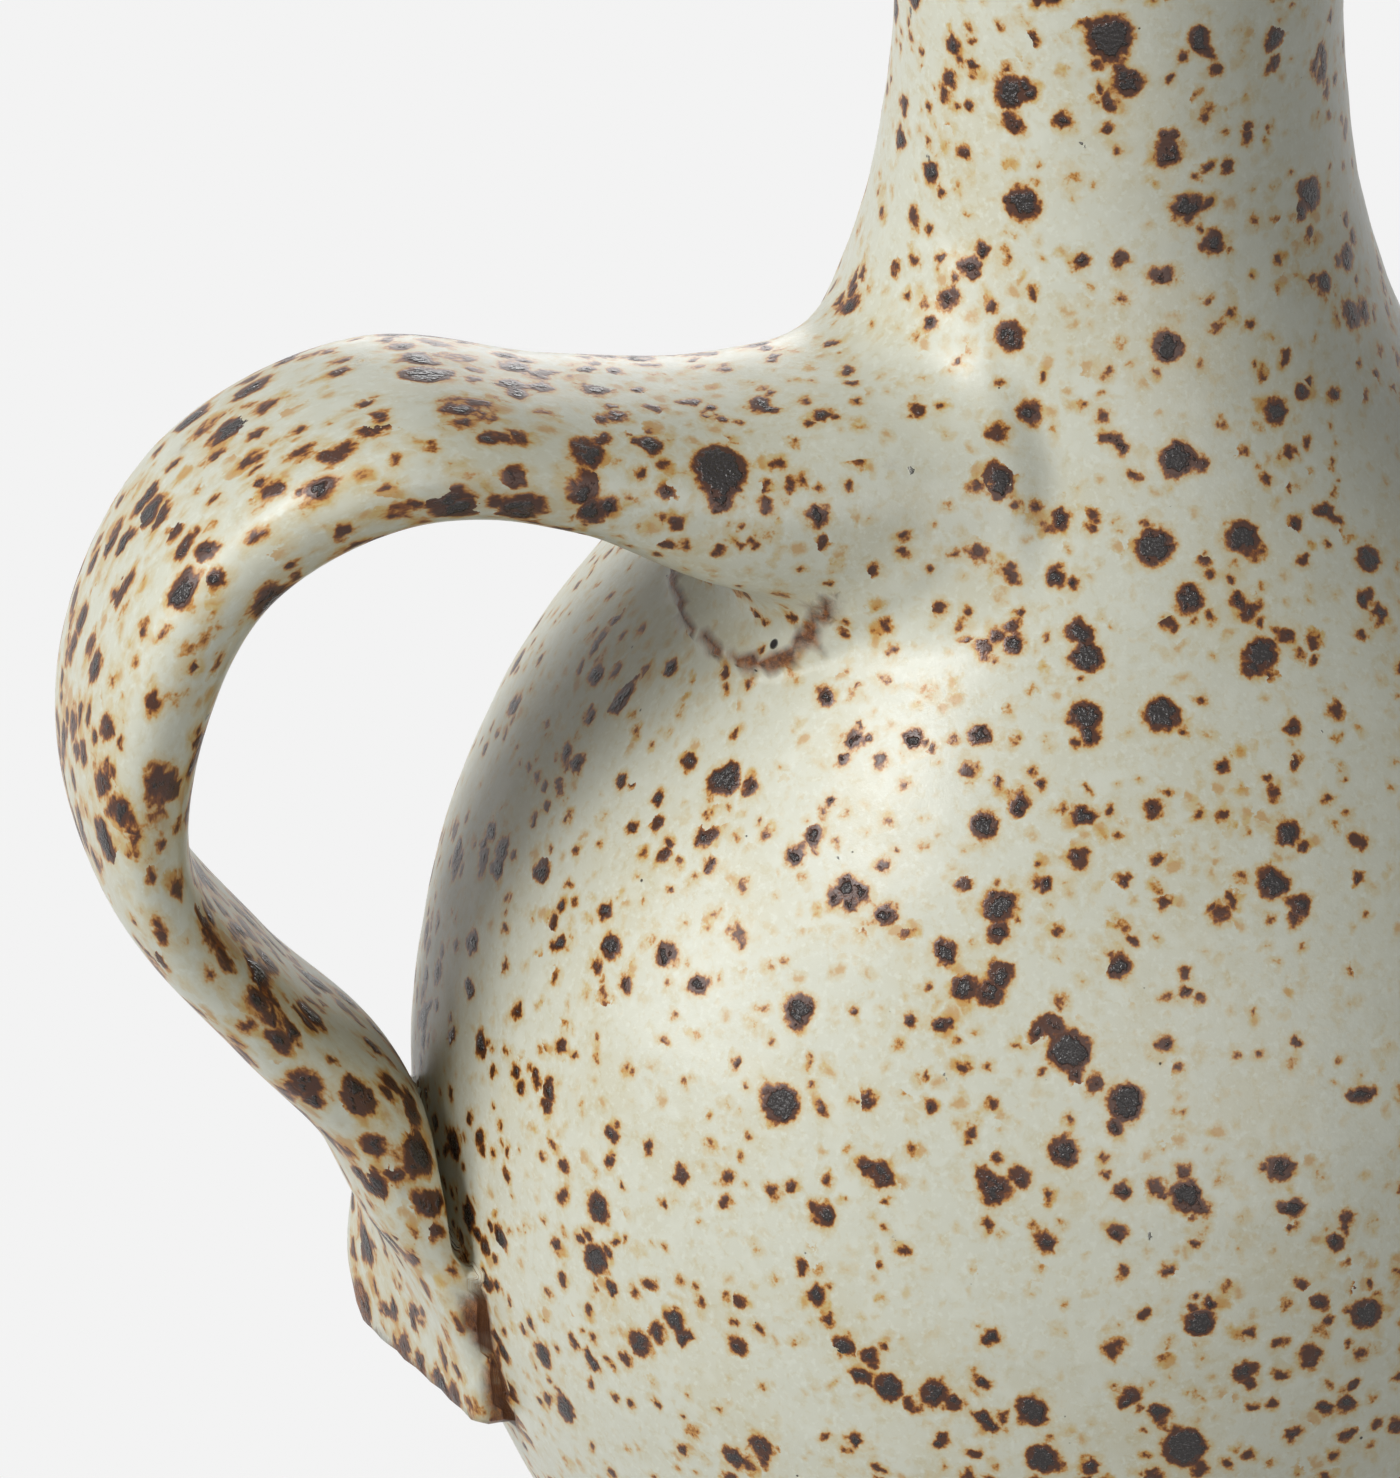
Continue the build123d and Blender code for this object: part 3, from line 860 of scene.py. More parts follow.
def iron_group(settings, spots):
    """Iron spots that bleed through the glaze: colour, core, height and roughness."""
    inputs = [("Place", VECTOR, None), ("Blot", FLOAT, NO_BLOT), ("Break", FLOAT, 0.0),
              ("Handle", FLOAT, 0.0), ("Pit", VECTOR, PAD_PIT)]
    outputs = [("Colour", COLOUR), ("Height", FLOAT), ("Roughness", FLOAT)]
    tree, n, given, out = new_group("Iron speckled glaze", inputs, outputs)
    place = given["Place"]

    def scatter(at, shift, spacing, smallest, largest, share):
        return use_group(n, spots, Place=at, Shift=shift, Spacing=spacing, Smallest=smallest,
                         Largest=largest, Share=share)["Depth"]

    broad = n.noise(place, 0.0030, 1.0).outputs["Color"]
    fine = n.noise(place, 0.0008, 2.0, 0.6).outputs["Color"]
    bend = n.vector("SCALE", n.vector("SUBTRACT", broad, grey(0.5)), scale=0.0022)
    fray = n.vector("SCALE", n.vector("SUBTRACT", fine, grey(0.5)), scale=0.0013)
    warped = n.vector("ADD", n.vector("ADD", place, bend), fray)
    ragged = n.add("ShaderNodeSeparateColor", {"Color": fine}).outputs
    rag = n.math("SUBTRACT", n.math("ADD", ragged[0], ragged[2]), 1.0)
    broad_parts = n.add("ShaderNodeSeparateColor", {"Color": broad}).outputs
    crowd = n.noise(place, 0.016, 1.0).outputs["Fac"]
    crowd = n.fit(crowd, 0.33, 0.68, -0.40, 0.30, smooth=False)
    crowd = n.math("ADD", crowd, n.fit(given["Blot"], -4.5, -0.8, 0.0, 0.22, smooth=False))
    crowd = n.math("MULTIPLY_ADD", given["Handle"], 0.48, crowd)

    # How deep each place is in a medium, small or faint spot, or in a main blot
    medium = scatter(warped, 0.77, 0.0047, 0.50, 1.55, 0.62)
    small = scatter(warped, 1.13, 0.0029, 0.20, 0.85, 0.55)
    faint = scatter(warped, 1.61, 0.0023, 0.10, 0.95, 0.62)
    depth = n.math("MULTIPLY_ADD", crowd, 0.95, medium)
    depth = n.math("MAXIMUM", depth, n.math("MULTIPLY_ADD", crowd, 0.55, small))
    blot = n.math("ADD", n.math("MULTIPLY_ADD", rag, 0.9, given["Blot"]),
                  n.math("MULTIPLY", n.math("SUBTRACT", broad_parts[1], 0.5), 1.6))
    depth = n.math("SMOOTH_MAX", depth, blot, 0.35)
    pale_spots = n.math("MULTIPLY_ADD", crowd, 0.5, faint)

    # The glaze between the spots
    clouds = n.noise(place, 0.012, 2.0, 0.6).outputs["Fac"]
    dust = n.noise(warped, 0.0014, 3.0, 0.62).outputs["Fac"]
    warm = n.math("ADD", n.fit(dust, 0.48, 0.74, 0.0, 0.55), n.fit(clouds, 0.45, 0.72, 0.0, 0.30),
                  clamp=True)
    base = n.mix(warm, tuple(settings.glaze), tuple(settings.oatmeal))
    milky = n.math("MAXIMUM", n.fit(broad_parts[2], 0.55, 0.72, 0.0, 0.35),
                   n.fit(ragged[1], 0.52, 0.70, 0.0, 0.55))
    base = n.mix(milky, base, tuple(settings.bloom))

    # From the halo to the core of each spot
    haze = n.math("ADD", n.fit(depth, -1.05, -0.15, 0.0, 0.62), n.fit(pale_spots, -0.6, 0.25, 0.0, 0.50),
                  clamp=True)
    stain = n.mix(haze, base, tuple(settings.straw))
    stain = n.mix(n.fit(pale_spots, 0.0, 0.5, 0.0, 0.55), stain, tuple(settings.ochre))
    stain = n.mix(n.fit(depth, -0.38, -0.08, 0.0, 0.95), stain, tuple(settings.ochre))
    stain = n.mix(n.fit(depth, -0.14, 0.06), stain, tuple(settings.russet))
    stain = n.mix(n.fit(depth, 0.02, 0.24), stain, tuple(settings.rust))
    core = n.fit(n.math("MULTIPLY_ADD", rag, 0.5, depth), 0.45, 0.85)
    stain = n.mix(core, stain, tuple(settings.iron))

    # Worn edges, pinholes, grey bits and the one pit; the dark colour in the pinholes and the pit is painted
    # shade inside the holes
    light_rust, pinhole_shade_brown, bit_grey = (0.30, 0.105, 0.022), (0.030, 0.018, 0.012), (0.10, 0.095, 0.105)
    pit_shade_black = (0.006, 0.004, 0.004)
    worn = n.mix(n.fit(rag, -0.35, 0.3), light_rust, tuple(settings.rust))
    stain = n.mix(given["Break"], stain, worn)
    # Pinholes: dark brown painted shade inside each hole, and a small dip in the height
    pinhole = n.fit(scatter(place, 2.31, 0.0052, 0.07, 0.20, 0.50), -0.06, 0.05)
    stain = n.mix(n.math("MULTIPLY", pinhole, 0.9), stain, pinhole_shade_brown)
    bit = n.fit(scatter(warped, 2.87, 0.0066, 0.10, 0.42, 0.30), -0.05, 0.12)
    stain = n.mix(n.math("MULTIPLY", bit, 0.75), stain, bit_grey)
    # The one pit: near-black painted shade inside the hole, and a deeper dip in the height
    from_pit = n.vector("DISTANCE", place, given["Pit"])
    pit = n.fit(from_pit, 0.00042, 0.00066, 1.0, 0.0)
    stain = n.mix(pit, stain, pit_shade_black)
    n.put(out["Colour"], stain)

    # Height in mm and roughness
    grain = n.noise(place, 0.00050, 3.0, 0.65).outputs["Fac"]
    swell = n.noise(place, 0.007, 2.0).outputs["Fac"]
    height = n.math("MULTIPLY", grain, 0.028)
    height = n.math("MULTIPLY_ADD", swell, 0.14, height)
    crust = n.noise(place, 0.00042, 1.0).outputs["Fac"]
    crusty = n.math("MAXIMUM", core, bit)
    height = n.math("MULTIPLY_ADD", n.math("MULTIPLY", crust, crusty), 0.30, height)
    height = n.math("MULTIPLY_ADD", n.math("MULTIPLY", n.math("ABSOLUTE", rag), crusty), 0.16, height)
    height = n.math("MULTIPLY_ADD", n.math("MULTIPLY", grain, given["Break"]), 0.40, height)
    height = n.math("MULTIPLY_ADD", n.fit(depth, -0.1, 0.4), 0.035, height)
    height = n.math("MULTIPLY_ADD", pinhole, -0.08, height)
    height = n.math("MULTIPLY_ADD", pit, -0.45, height)
    n.put(out["Height"], height)
    rough = n.fit(grain, 0.3, 0.7, 0.29, 0.39, smooth=False)
    n.put(out["Roughness"], n.math("MULTIPLY_ADD", crusty, -0.07, rough))
    return tree


def glaze_material(settings, iron):
    """The speckled satin glaze."""
    material = bpy.data.materials.new("speckled_glaze")
    material.use_nodes = True
    n = Nodes(material.node_tree)
    shader = material.node_tree.nodes["Principled BSDF"]
    place, blot, broken, handle = (n.add("ShaderNodeAttribute", attribute_name=name).outputs
                                   for name in ("glaze_place", "blot", "edge_break", "handle_share"))
    glaze = use_group(n, iron, Place=place["Vector"], Blot=blot["Fac"], Break=broken["Fac"],
                      Handle=handle["Fac"])
    n.put(shader.inputs["Base Color"], glaze["Colour"])
    n.put(shader.inputs["Roughness"], glaze["Roughness"])
    bump = n.add("ShaderNodeBump", {"Height": glaze["Height"], "Strength": 1.0, "Distance": MM})
    n.put(shader.inputs["Normal"], bump.outputs["Normal"])
    shader.inputs["IOR"].default_value = 1.5
    shader.inputs["Specular IOR Level"].default_value = 0.45
    return material


def clay_material(settings):
    """Bare toasted stoneware with grit."""
    material = bpy.data.materials.new("bare_stoneware")
    material.use_nodes = True
    n = Nodes(material.node_tree)
    shader = material.node_tree.nodes["Principled BSDF"]
    place = n.add("ShaderNodeTexCoord").outputs["Object"]
    tone = n.noise(place, 0.012, 4.0, 0.6).outputs["Fac"]
    grit = n.add("ShaderNodeTexVoronoi", {"Vector": place, "Scale": 1 / 0.0016}).outputs
    spark = n.add("ShaderNodeSeparateColor", {"Color": grit["Color"]}).outputs[0]
    fleck = n.math("MULTIPLY", n.fit(grit["Distance"], 0.16, 0.28, 1.0, 0.0),
                   n.math("GREATER_THAN", spark, 0.72))
    toasted, grit_brown = (0.34, 0.20, 0.115), (0.07, 0.035, 0.02)
    colour = n.mix(n.fit(tone, 0.35, 0.65), tuple(settings.clay), toasted)
    colour = n.mix(n.math("MULTIPLY", fleck, 0.85), colour, grit_brown)
    fine = n.noise(place, 0.0007, 4.0, 0.7).outputs["Fac"]
    height = n.math("MULTIPLY_ADD", fleck, 0.10, n.math("MULTIPLY", fine, 0.22))
    n.put(shader.inputs["Base Color"], colour)
    n.put(shader.inputs["Roughness"], n.fit(fine, 0.2, 0.8, 0.72, 0.88))
    bump = n.add("ShaderNodeBump", {"Height": height, "Distance": MM})
    n.put(shader.inputs["Normal"], bump.outputs["Normal"])
    return material


# ---------------------------------------------------------------- geometry node trees


def throwing_tree():
    """Moves a turned wall in and out along its normals in a slow spiral, as fingers leave it."""
    tree = bpy.data.node_groups.new("Throwing rings", "GeometryNodeTree")
    tree.interface.new_socket("Geometry", in_out="INPUT", socket_type="NodeSocketGeometry")
    for label, value in (("Pitch", 0.007), ("Depth", 0.0003), ("Start", 0.0), ("End", 1.0)):
        tree.interface.new_socket(label, in_out="INPUT", socket_type="NodeSocketFloat").default_value = value
    tree.interface.new_socket("Material", in_out="INPUT", socket_type="NodeSocketMaterial")
    tree.interface.new_socket("Geometry", in_out="OUTPUT", socket_type="NodeSocketGeometry")
    n = Nodes(tree)
    given = n.add("NodeGroupInput").outputs
    place = n.add("ShaderNodeSeparateXYZ", {"Vector": n.add("GeometryNodeInputPosition").outputs[0]}).outputs
    turn = n.math("DIVIDE", n.math("ARCTAN2", place["Y"], place["X"]), 2 * math.pi)
    radius = n.math("SQRT", n.math("ADD", n.math("POWER", n.math("ABSOLUTE", place["X"]), 2.0),
                                   n.math("POWER", n.math("ABSOLUTE", place["Y"]), 2.0)))
    travel = n.math("ADD", n.math("DIVIDE", n.math("ADD", place["Z"], radius), given["Pitch"]), turn)
    wave = n.math("SINE", n.math("MULTIPLY", travel, 2 * math.pi))
    ends = n.math("MULTIPLY", n.fit(place["Z"], given["Start"], n.math("ADD", given["Start"], 0.006)),
                  n.fit(place["Z"], n.math("SUBTRACT", given["End"], 0.012), given["End"], 1.0, 0.0))
    ends = n.math("MULTIPLY", ends, n.fit(radius, 0.001, 0.006))
    push = n.math("MULTIPLY", n.math("MULTIPLY", wave, given["Depth"]), ends)
    normal = n.add("GeometryNodeInputNormal").outputs[0]
    moved = n.add("GeometryNodeSetPosition", {"Geometry": given["Geometry"],
                                              "Offset": n.vector("SCALE", normal, scale=push)})
    smooth = n.add("GeometryNodeSetShadeSmooth", {"Geometry": moved.outputs[0]})
    real = n.add("GeometryNodeRealizeInstances", {"Geometry": smooth.outputs[0]})
    painted = n.add("GeometryNodeSetMaterial", {"Geometry": real.outputs[0], "Material": given["Material"]})
    tree.links.new(painted.outputs[0], n.add("NodeGroupOutput").inputs[0])
    return tree


def bake_nodes(piece, tree, **inputs):
    """Runs a geometry node tree on a piece and keeps the plain mesh."""
    change = piece.modifiers.new(tree.name, "NODES")
    change.node_group = tree
    for socket in tree.interface.items_tree:
        if socket.in_out == "INPUT" and socket.name in inputs:
            change[socket.identifier] = inputs[socket.name]
    view = bpy.context.evaluated_depsgraph_get()
    made = bpy.data.meshes.new_from_object(piece.evaluated_get(view))
    piece.modifiers.clear()
    old, name = piece.data, piece.name
    piece.data = made
    made.name = name
    bpy.data.meshes.remove(old)
    return piece


# ---------------------------------------------------------------- pieces


def the_form(context):
    """The pot's form from the settings in the sidebar."""
    scene = context.scene
    return PotForm(scene.pottery_vessel, scene.pottery_handle, scene.pottery_glaze)


def the_material(context, kind):
    """The shared material of that kind, made when first asked for."""
    names = {"glaze": "speckled_glaze", "clay": "bare_stoneware"}
    found = bpy.data.materials.get(names[kind])
    if found is not None:
        return found
    settings = context.scene.pottery_glaze
    if kind == "clay":
        return clay_material(settings)
    return glaze_material(settings, iron_group(settings, spot_group()))


def write_attribute(mesh, name, kind, values):
    """A value or vector for each vertex, that the glaze reads by name."""
    layer = mesh.attributes.new(name, kind, "POINT")
    layer.data.foreach_set("vector" if kind == "FLOAT_VECTOR" else "value",
                           np.asarray(values, np.float32).ravel())


def mesh_points(mesh):
    """The places of the mesh's vertices."""
    flat = np.empty(len(mesh.vertices) * 3)
    mesh.vertices.foreach_get("co", flat)
    return flat.reshape(-1, 3)


def on_vessel(form, turn, z):
    """A place on the glazed vessel, turn radians round from the handle to the front."""
    r = form.outside_radius(np.array([float(z)]))[0]
    return np.array([-r * math.cos(turn), -r * math.sin(turn), z])


def on_loop(form, along, turn):
    """A place on the strap, turn radians round its section from the front edge, and how it is drawn out."""
    i = min(int(along / (form.along[1] - form.along[0])), len(form.centre) - 1)
    out = form.wide[i] * (form.half_width[i] * math.cos(turn)) \
        + form.thick[i] * ((form.half_thick[i] + 0.5) * math.sin(turn) - form.sink[i])
    drawn = 1 - 0.38 * float(ease(along, 38, 75))
    return form.centre[i] + out, form.way[i], drawn


def with_satellites(rng, place, way, drawn, size):
    """A blot and the smaller ones that sometimes run into it."""
    blots = [(place, way, drawn, size)]
    for _ in range(rng.integers(0, 3) if rng.random() < 0.5 and size < 3 else 0):
        side = rng.normal(size=3)
        side *= size * rng.uniform(1.2, 2.2) / np.linalg.norm(side)
        blots.append((place + side, way, drawn, size * rng.uniform(0.35, 0.75)))
    return blots


def iron_blots(form, seed):
    """Main and loose blots: (place, the way it is drawn out, how narrow it is drawn, radius) for each."""
    rng = np.random.default_rng(seed)
    up = np.array([0.0, 0.0, 1.0])
    main = [(on_vessel(form, math.radians(turn), z), up, 1.0, size) for turn, z, size in MAIN_BLOTS]
    main += [(*on_loop(form, along, math.radians(turn)), size) for along, turn, size in MAIN_STRAP_BLOTS]
    centres = np.array([place for place, way, drawn, size in main])

    def clear(place):
        return np.linalg.norm(centres - place, axis=1).min()

    found = []
    for blot in main:
        found += with_satellites(rng, *blot)
    for _ in range(VESSEL_BLOTS):
        z, turn = rng.uniform(9, 248), rng.uniform(-math.pi, math.pi)
        size = 0.75 + 1.25 * rng.random() ** 2.4
        place = on_vessel(form, turn, z)
        if rng.random() < math.hypot(*place[:2]) / 80 and clear(place) > VESSEL_CLEAR:
            found += with_satellites(rng, place, up, 1.0, size)
    tail_start = form.along[-1] - 38
    for _ in range(STRAP_BLOTS):
        along, turn = rng.uniform(20, form.along[-1] - 8), rng.uniform(-math.pi, math.pi)
        size = (0.5 + 1.05 * rng.random() ** 2.2) * (0.7 if along > tail_start else 1)
        place, way, drawn = on_loop(form, along, turn)
        if clear(place) > STRAP_CLEAR:
            found += with_satellites(rng, place, way, drawn, size)
    return found


def worn_edges(form, p, apart, s, u, v):
    """How far the glaze has broken to rust at each place: on the tail's edges and its torn front side."""
    i = np.clip((s / (form.along[1] - form.along[0])).astype(int), 0, len(form.centre) - 1)
    across, out = u / (form.half_width[i] + form.coat), v / (form.half_thick[i] + form.coat)
    ragged = soft_noise(p, 3.1, 21) + 0.7 * soft_noise(p, 1.3, 22)
    over_cut = p[:, 2] - form.v["belly_line"] + form.h["tail_fall"]

    def low_down(starts, full):
        return ease(-over_cut, -starts, -full)

    corner = ease(-across, 0.80, 1.0) * ease(out, 0.4, 0.95)
    far = ease(corner * 1.2 + 0.35 * ragged, 0.55, 1.0) * low_down(26, 12)
    heel = low_down(9, 3) * ease(-across, 0.45, 0.8)
    heel = ease(heel + 0.5 * ragged, 0.55, 0.9)
    side = ease(across, 0.92, 1.0) * low_down(22, 13)
    near = ease(side + 0.45 * ragged, 0.45, 0.95)
    end = low_down(1.6, 0.4) * ease(0.6 + ragged, 0.2, 0.8)
    return np.where(apart < 1.5, np.maximum.reduce([far, heel, near, 0.8 * end]), 0)


def pad_line(form, p, turn, rise, handle_share):
    """How far the glaze has broken to rust along the lower rim of the clay smeared under the root."""
    line = np.exp(-(form.pad_edge(p) + 1.0) ** 2) * (1 - ease(rise, -8, 2)) * (p[:, 0] < -20)
    line *= (1 - ease(turn, 0.75, 0.95)) * (1 - ease(-turn, 0.4, 0.8))
    ragged = soft_noise(p, 2.4, 31) + 0.6 * soft_noise(p, 1.2, 32)
    return ease(line + 0.5 * ragged, 0.25, 0.75) * (handle_share < 0.5) * ease(line, 0.1, 0.3)


def blot_depth(form, p, seed):
    """How deep inside a blot each place is, in mm: less than 0 outside."""
    depth = np.full(len(p), NO_BLOT)
    order = np.argsort(p[:, 2])
    heights = p[order, 2]
    for centre, way, drawn, size in iron_blots(form, seed):
        reach = size / drawn + 6
        first, last = np.searchsorted(heights, (centre[2] - reach, centre[2] + reach))
        near = order[first:last]
        away = p[near] - centre
        if size < 1.4 and len(near):
            # A small blot moves to the nearest vertex, so that the mesh doesn't miss it
            away = away - away[(away ** 2).sum(1).argmin()]
        length = (away * way).sum(1)
        gap = np.sqrt(np.maximum((away ** 2).sum(1) - (1 - drawn ** 2) * length ** 2, 0))
        depth[near] = np.maximum(depth[near], size - gap)
    return depth


def glaze_attributes(form, mesh, seed):
    """Writes what the glaze reads: its own coordinates, the blots, the worn edges and the strap's share."""
    p = mesh_points(mesh) / MM
    reach = form.near_strap(p) & (p[:, 0] < -30)
    d, s, u, v = form.strap(p[reach])
    base = form.vessel(p[reach])
    on = d < base

    # The pattern is drawn out along the strap by the share 0.4, from 50 mm along it
    step = form.along[1] - form.along[0]
    first = int(50 / step)
    reached = np.clip((s / step).astype(int), 0, len(form.centre) - 1)
    shift = (form.centre[np.maximum(reached, first)] - form.centre[first]) * 0.4
    place = p.copy()
    place[reach] = p[reach] - np.where(on[:, None], shift, 0)
    handle_share = np.zeros(len(p))
    handle_share[reach] = on * ease(s, 20, 45)

    # and wiped downwards under the root
    rise = form.over_root(p)
    turn = np.arctan2(-p[:, 1], -p[:, 0])
    smear = np.exp(-((turn - 0.10) / 0.26) ** 2 - ((rise + 20) / 9) ** 2) * (1 - handle_share)
    place[:, 2] -= 0.7 * smear * (rise + 20)

    broken = np.zeros(len(p))
    broken[reach] = worn_edges(form, p[reach], d - base, s, u, v)
    broken = np.maximum(broken, pad_line(form, p, turn, rise, handle_share))
    write_attribute(mesh, "handle_share", "FLOAT", handle_share)
    write_attribute(mesh, "glaze_place", "FLOAT_VECTOR", place * MM)
    write_attribute(mesh, "blot", "FLOAT", blot_depth(form, p, seed))
    write_attribute(mesh, "edge_break", "FLOAT", broken)


def add_side(bm, form, offset, step, rounds):
    """Adds one side of the skin: the outer one, or with an offset the inner one, which faces the clay."""
    points, quads = surface_net(form, GRID_LOW, GRID_HIGH, step, offset)
    points = settle(form, points, quads, offset, rounds)
    if offset:
        quads = quads[:, ::-1]
    made = [bm.verts.new(place) for place in points * MM]
    for quad in quads:
        bm.faces.new([made[i] for i in quad])


class POTTERY_OT_outer_glaze(bpy.types.Operator):
    """Wrap the bottle and its strap in one glazed skin, over the lip and down into the neck"""

    bl_idname = "pottery.outer_glaze"
    bl_label = "Outer glaze"
    bl_options = {"REGISTER", "UNDO"}

    def execute(self, context):
        settings = context.scene.pottery_glaze
        form = the_form(context)
        step = settings.skin_step / MM * 1
        bm = bmesh.new()
        add_side(bm, form, 0.0, step, 3)
        add_side(bm, form, form.coat, step * 2, 1)
        rims = ((form.bare * MM, 1.0, 1.0), (SKIN_END * MM, HOLLOW_REACH * MM, 0.04))
        for height, radius, depth in rims:
            cut_open(bm, height, radius, depth)
        for height, radius, depth in rims:
            bmesh.ops.bridge_loops(bm, edges=rim_loops(bm, height, radius))
        mesh = bpy.data.meshes.new("outer_glaze_skin")
        bm.to_mesh(mesh)
        bm.free()
        mesh.shade_smooth()
        glaze_attributes(form, mesh, settings.seed)
        piece = new_object("outer_glaze_skin", mesh)
        mesh.materials.append(the_material(context, "glaze"))
        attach(piece, "root")
        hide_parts("outer_glaze", "handle", "upper_handle_slip", "lower_handle_slip")
        self.report({"INFO"}, f"skin of {len(mesh.polygons)} faces")
        return {"FINISHED"}


class POTTERY_OT_liner_glaze(bpy.types.Operator):
    """Turn the glazed lining of the hollow, with its throwing rings"""

    bl_idname = "pottery.liner_glaze"
    bl_label = "Liner glaze"
    bl_options = {"REGISTER", "UNDO"}

    def execute(self, context):
        settings = context.scene.pottery_glaze
        form = the_form(context)
        v = form.v
        floor = v["foot_recess"] + v["floor_thickness"] + form.coat
        rise = np.linspace(floor + FLOOR_ROUND, SKIN_END, 150)
        inner = list(zip(form.inside_radius(rise), rise))
        corner = inner[0][0] - FLOOR_ROUND
        base = [(r, floor) for r in np.linspace(0, corner, 14)][:-1]
        bend = arc_points((corner, floor + FLOOR_ROUND), FLOOR_ROUND, -90, 0, 9)
        inside = base + bend + inner[1:]
        lift = form.coat
        outside = [(r + lift, z) if z > floor + FLOOR_ROUND else (r + lift * 0.7, z - lift)
                   for r, z in reversed(inside)]
        outside[-1] = (0, floor - lift)
        mesh = lathe(inside + outside, 160)
        face_outwards(mesh)
        piece = new_object("liner_glaze_coat", mesh)
        bake_nodes(piece, throwing_tree(), Pitch=0.0085, Depth=0.00035,
                   Start=floor * MM, End=(SKIN_END - 4) * MM,
                   Material=the_material(context, "glaze"))
        glaze_attributes(form, piece.data, settings.seed + 1)
        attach(piece, "root")
        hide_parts("liner_glaze")
        return {"FINISHED"}


class POTTERY_OT_thrown_clay(bpy.types.Operator):
    """Turn the clay of the bottle, with its bare foot and the turning marks under the base"""

    bl_idname = "pottery.thrown_clay"
    bl_label = "Thrown clay"
    bl_options = {"REGISTER", "UNDO"}

    def execute(self, context):
        form = the_form(context)
        v = form.v
        foot, recess = v["foot_radius"], v["foot_recess"]
        inner_foot = foot - v["foot_width"]
        floor = recess + v["floor_thickness"]
        base = [(r, recess) for r in np.linspace(0, inner_foot - RECESS_ROUND, 30)]
        curl = arc_points((inner_foot - RECESS_ROUND, recess - RECESS_ROUND), RECESS_ROUND, 90, 0, 5)[1:]
        ring = [(inner_foot, FOOT_ROUND)]
        ring += arc_points((inner_foot + FOOT_ROUND, FOOT_ROUND), FOOT_ROUND, 180, 270, 5)[1:]
        ring += [(r, 0.0) for r in np.linspace(inner_foot + FLAT_EDGE, foot - FLAT_EDGE, 6)]
        ring += arc_points((foot - FOOT_ROUND, FOOT_ROUND), FOOT_ROUND, 270, 360, 5)
        start, top = 5.6, v["height"] - 3.2
        wall_z = np.linspace(start, top, 170)
        belly = [(r - CLAY_TUCK, z) for r, z in zip(form.clay_radius(wall_z), wall_z)]
        ring += [(foot + (belly[0][0] - foot) * t * t, FOOT_ROUND + (start - FOOT_ROUND) * t)
                 for t in (0.3, 0.55, 0.8)]
        inner_z = np.linspace(top, floor + FLOOR_ROUND, 130)
        wall = [(r - form.coat + 0.3, z) for r, z in zip(form.inside_radius(inner_z), inner_z)]
        half = (belly[-1][0] - wall[0][0]) / 2
        lip = arc_points((wall[0][0] + half, top), half, 0, 180, 9)[1:-1]
        corner = wall[-1][0] - FLOOR_ROUND
        bend = arc_points((corner, floor + FLOOR_ROUND), FLOOR_ROUND, 0, -90, 9)[1:]
        inside = [(r, floor) for r in np.linspace(corner, 0, 12)][1:]
        mesh = lathe(base + curl + ring + belly + lip + wall + bend + inside, 144)
        face_outwards(mesh)
        piece = new_object("thrown_clay", mesh)
        bake_nodes(piece, throwing_tree(), Pitch=0.0021, Depth=0.00010, Start=-0.01, End=0.022,
                   Material=the_material(context, "clay"))
        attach(piece, "root")
        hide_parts("globe_body", "neck_section", "neck_joint_slip")
        return {"FINISHED"}


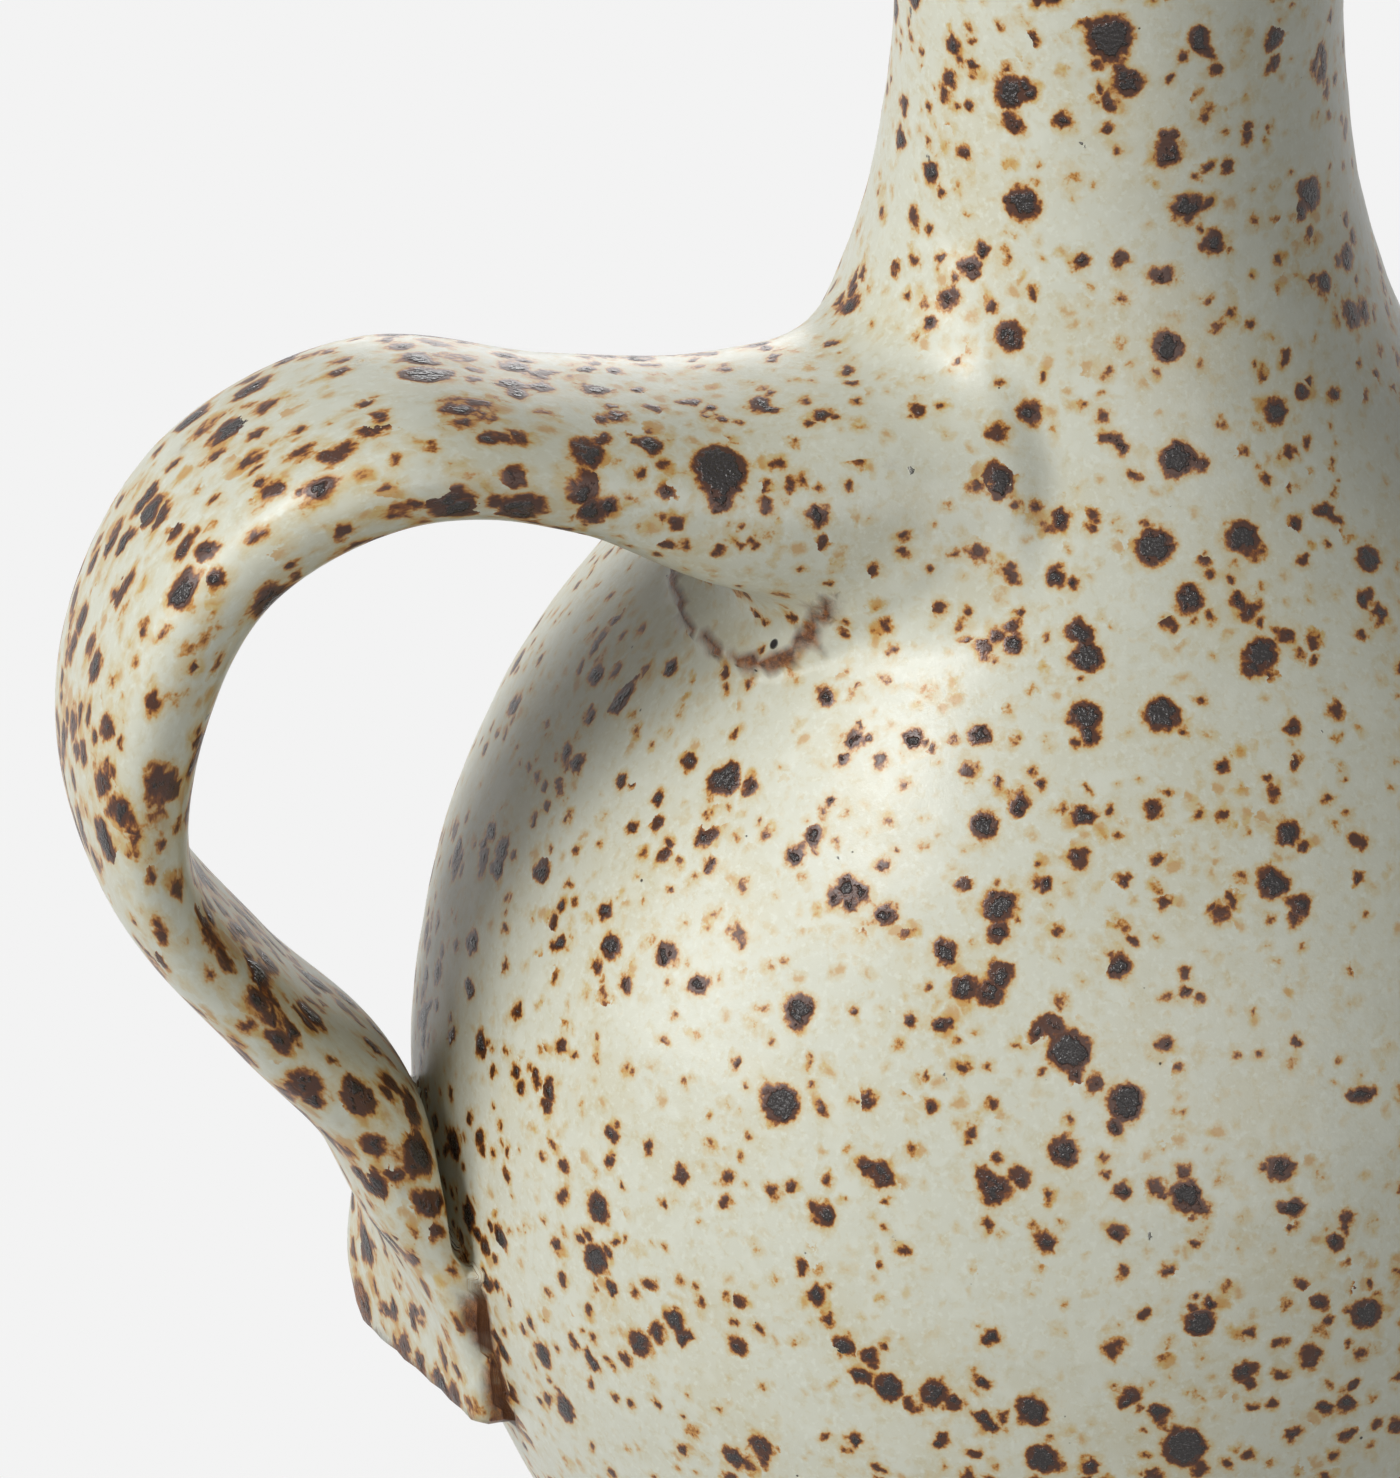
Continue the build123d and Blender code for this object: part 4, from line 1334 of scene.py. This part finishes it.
class POTTERY_OT_stage(bpy.types.Operator):
    """Set up the floor, the studio light and the camera"""

    bl_idname = "pottery.stage"
    bl_label = "Stage"
    bl_options = {"REGISTER", "UNDO"}

    def execute(self, context):
        scene = context.scene
        settings = scene.pottery_stage
        scene.view_settings.view_transform = "Standard"
        self.floor()
        self.world(scene)
        self.lamps()
        aim = Vector((-0.0448, 0.0120, 0.1209))
        up, turn = settings.elevation, settings.azimuth
        back = Vector((math.cos(up) * math.sin(turn), -math.cos(up) * math.cos(turn), math.sin(up)))
        data = bpy.data.cameras.new("camera")
        data.lens = settings.lens
        data.sensor_width = 36
        data.clip_start = 0.05
        camera = new_object("camera", data)
        camera.location = aim + back * settings.distance
        camera.rotation_euler = back.to_track_quat("Z", "Y").to_euler()
        scene.camera = camera
        return {"FINISHED"}

    def floor(self):
        """A wide pale disc that fades into the background and keeps the pot's shadow."""
        mesh = lathe([(0, 0), (400, 0), (2000, 0)], 96)
        floor = new_object("floor", mesh)
        material = bpy.data.materials.new("pale_floor")
        material.use_nodes = True
        n = Nodes(material.node_tree)
        shader = material.node_tree.nodes["Principled BSDF"]
        n.put(shader.inputs["Base Color"], grey(0.42))
        shader.inputs["Roughness"].default_value = 0.9
        shader.inputs["Specular IOR Level"].default_value = 0.1
        spot = n.vector("SUBTRACT", n.add("ShaderNodeTexCoord").outputs["Object"], (0.10, -0.04, 0.0))
        far = n.fit(n.vector("LENGTH", spot), 0.12, 0.21)
        seen = seen_directly(n)
        lift = n.add("ShaderNodeEmission", {"Color": grey(0.58), "Strength": seen})
        near = n.add("ShaderNodeAddShader")
        n.put(near.inputs[0], shader.outputs[0])
        n.put(near.inputs[1], lift.outputs[0])
        glow = n.add("ShaderNodeEmission", {"Color": grey(BACKDROP)})
        blend = n.add("ShaderNodeMixShader", {"Fac": n.math("MULTIPLY", far, seen)})
        n.put(blend.inputs[1], near.outputs[0])
        n.put(blend.inputs[2], glow.outputs[0])
        n.put(material.node_tree.nodes["Material Output"].inputs["Surface"], blend.outputs[0])
        mesh.materials.append(material)

    def world(self, scene):
        """A background that is seen but gives no light."""
        world = bpy.data.worlds.new("studio")
        scene.world = world
        world.use_nodes = True
        n = Nodes(world.node_tree)
        room = world.node_tree.nodes["Background"]
        room.inputs["Strength"].default_value = 0.0
        backdrop = n.add("ShaderNodeBackground", {"Color": grey(BACKDROP)})
        blend = n.add("ShaderNodeMixShader", {"Fac": seen_directly(n)})
        n.put(blend.inputs[1], room.outputs[0])
        n.put(blend.inputs[2], backdrop.outputs[0])
        n.put(world.node_tree.nodes["World Output"].inputs["Surface"], blend.outputs[0])

    def lamps(self):
        """A tall key high on the left, a small pane under it, and soft boxes left, front and back.

        Each is a rectangle that gives the aim point its share of full light.
        """
        aim = Vector((-0.03, 0.0, 0.13))
        for name, way, along, width, height, light in LAMPS:
            data = bpy.data.lights.new(name, "AREA")
            data.shape = "RECTANGLE"
            data.size, data.size_y = width, height
            data.energy = light * (math.pi * LAMP_DISTANCE) ** 2
            way = Vector(way).normalized()
            up = (Vector(along) - way * Vector(along).dot(way)).normalized()
            turn = Matrix((up.cross(way), up, way)).transposed().to_4x4()
            new_object(name, data).matrix_world = Matrix.Translation(aim + way * LAMP_DISTANCE) @ turn


class POTTERY_PT_panel(bpy.types.Panel):
    """Buttons and sizes for the vase"""

    bl_label = "Stoneware vase"
    bl_idname = "POTTERY_PT_panel"
    bl_space_type = "VIEW_3D"
    bl_region_type = "UI"
    bl_category = "Pottery"

    def draw(self, context):
        for kind in PIECE_OPERATORS:
            self.layout.operator(kind.bl_idname)
        for group in ("pottery_vessel", "pottery_handle", "pottery_glaze", "pottery_stage"):
            box = self.layout.box()
            settings = getattr(context.scene, group)
            for key in settings.__annotations__:
                box.prop(settings, key)


PIECE_OPERATORS = (POTTERY_OT_stage, POTTERY_OT_outer_glaze, POTTERY_OT_liner_glaze,
                   POTTERY_OT_thrown_clay)
SETTINGS = {"pottery_vessel": VesselSettings, "pottery_handle": HandleSettings,
            "pottery_glaze": GlazeSettings, "pottery_stage": StageSettings}


def register():
    for kind in (*SETTINGS.values(), *PIECE_OPERATORS, POTTERY_PT_panel):
        bpy.utils.register_class(kind)
    for name, kind in SETTINGS.items():
        setattr(bpy.types.Scene, name, PointerProperty(type=kind))


def unregister():
    for name in SETTINGS:
        delattr(bpy.types.Scene, name)
    for kind in (POTTERY_PT_panel, *reversed(PIECE_OPERATORS), *SETTINGS.values()):
        bpy.utils.unregister_class(kind)


def main():
    register()
    for kind in PIECE_OPERATORS:
        group, name = kind.bl_idname.split(".")
        getattr(getattr(bpy.ops, group), name)()
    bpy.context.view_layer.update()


if __name__ == "__main__":
    main()
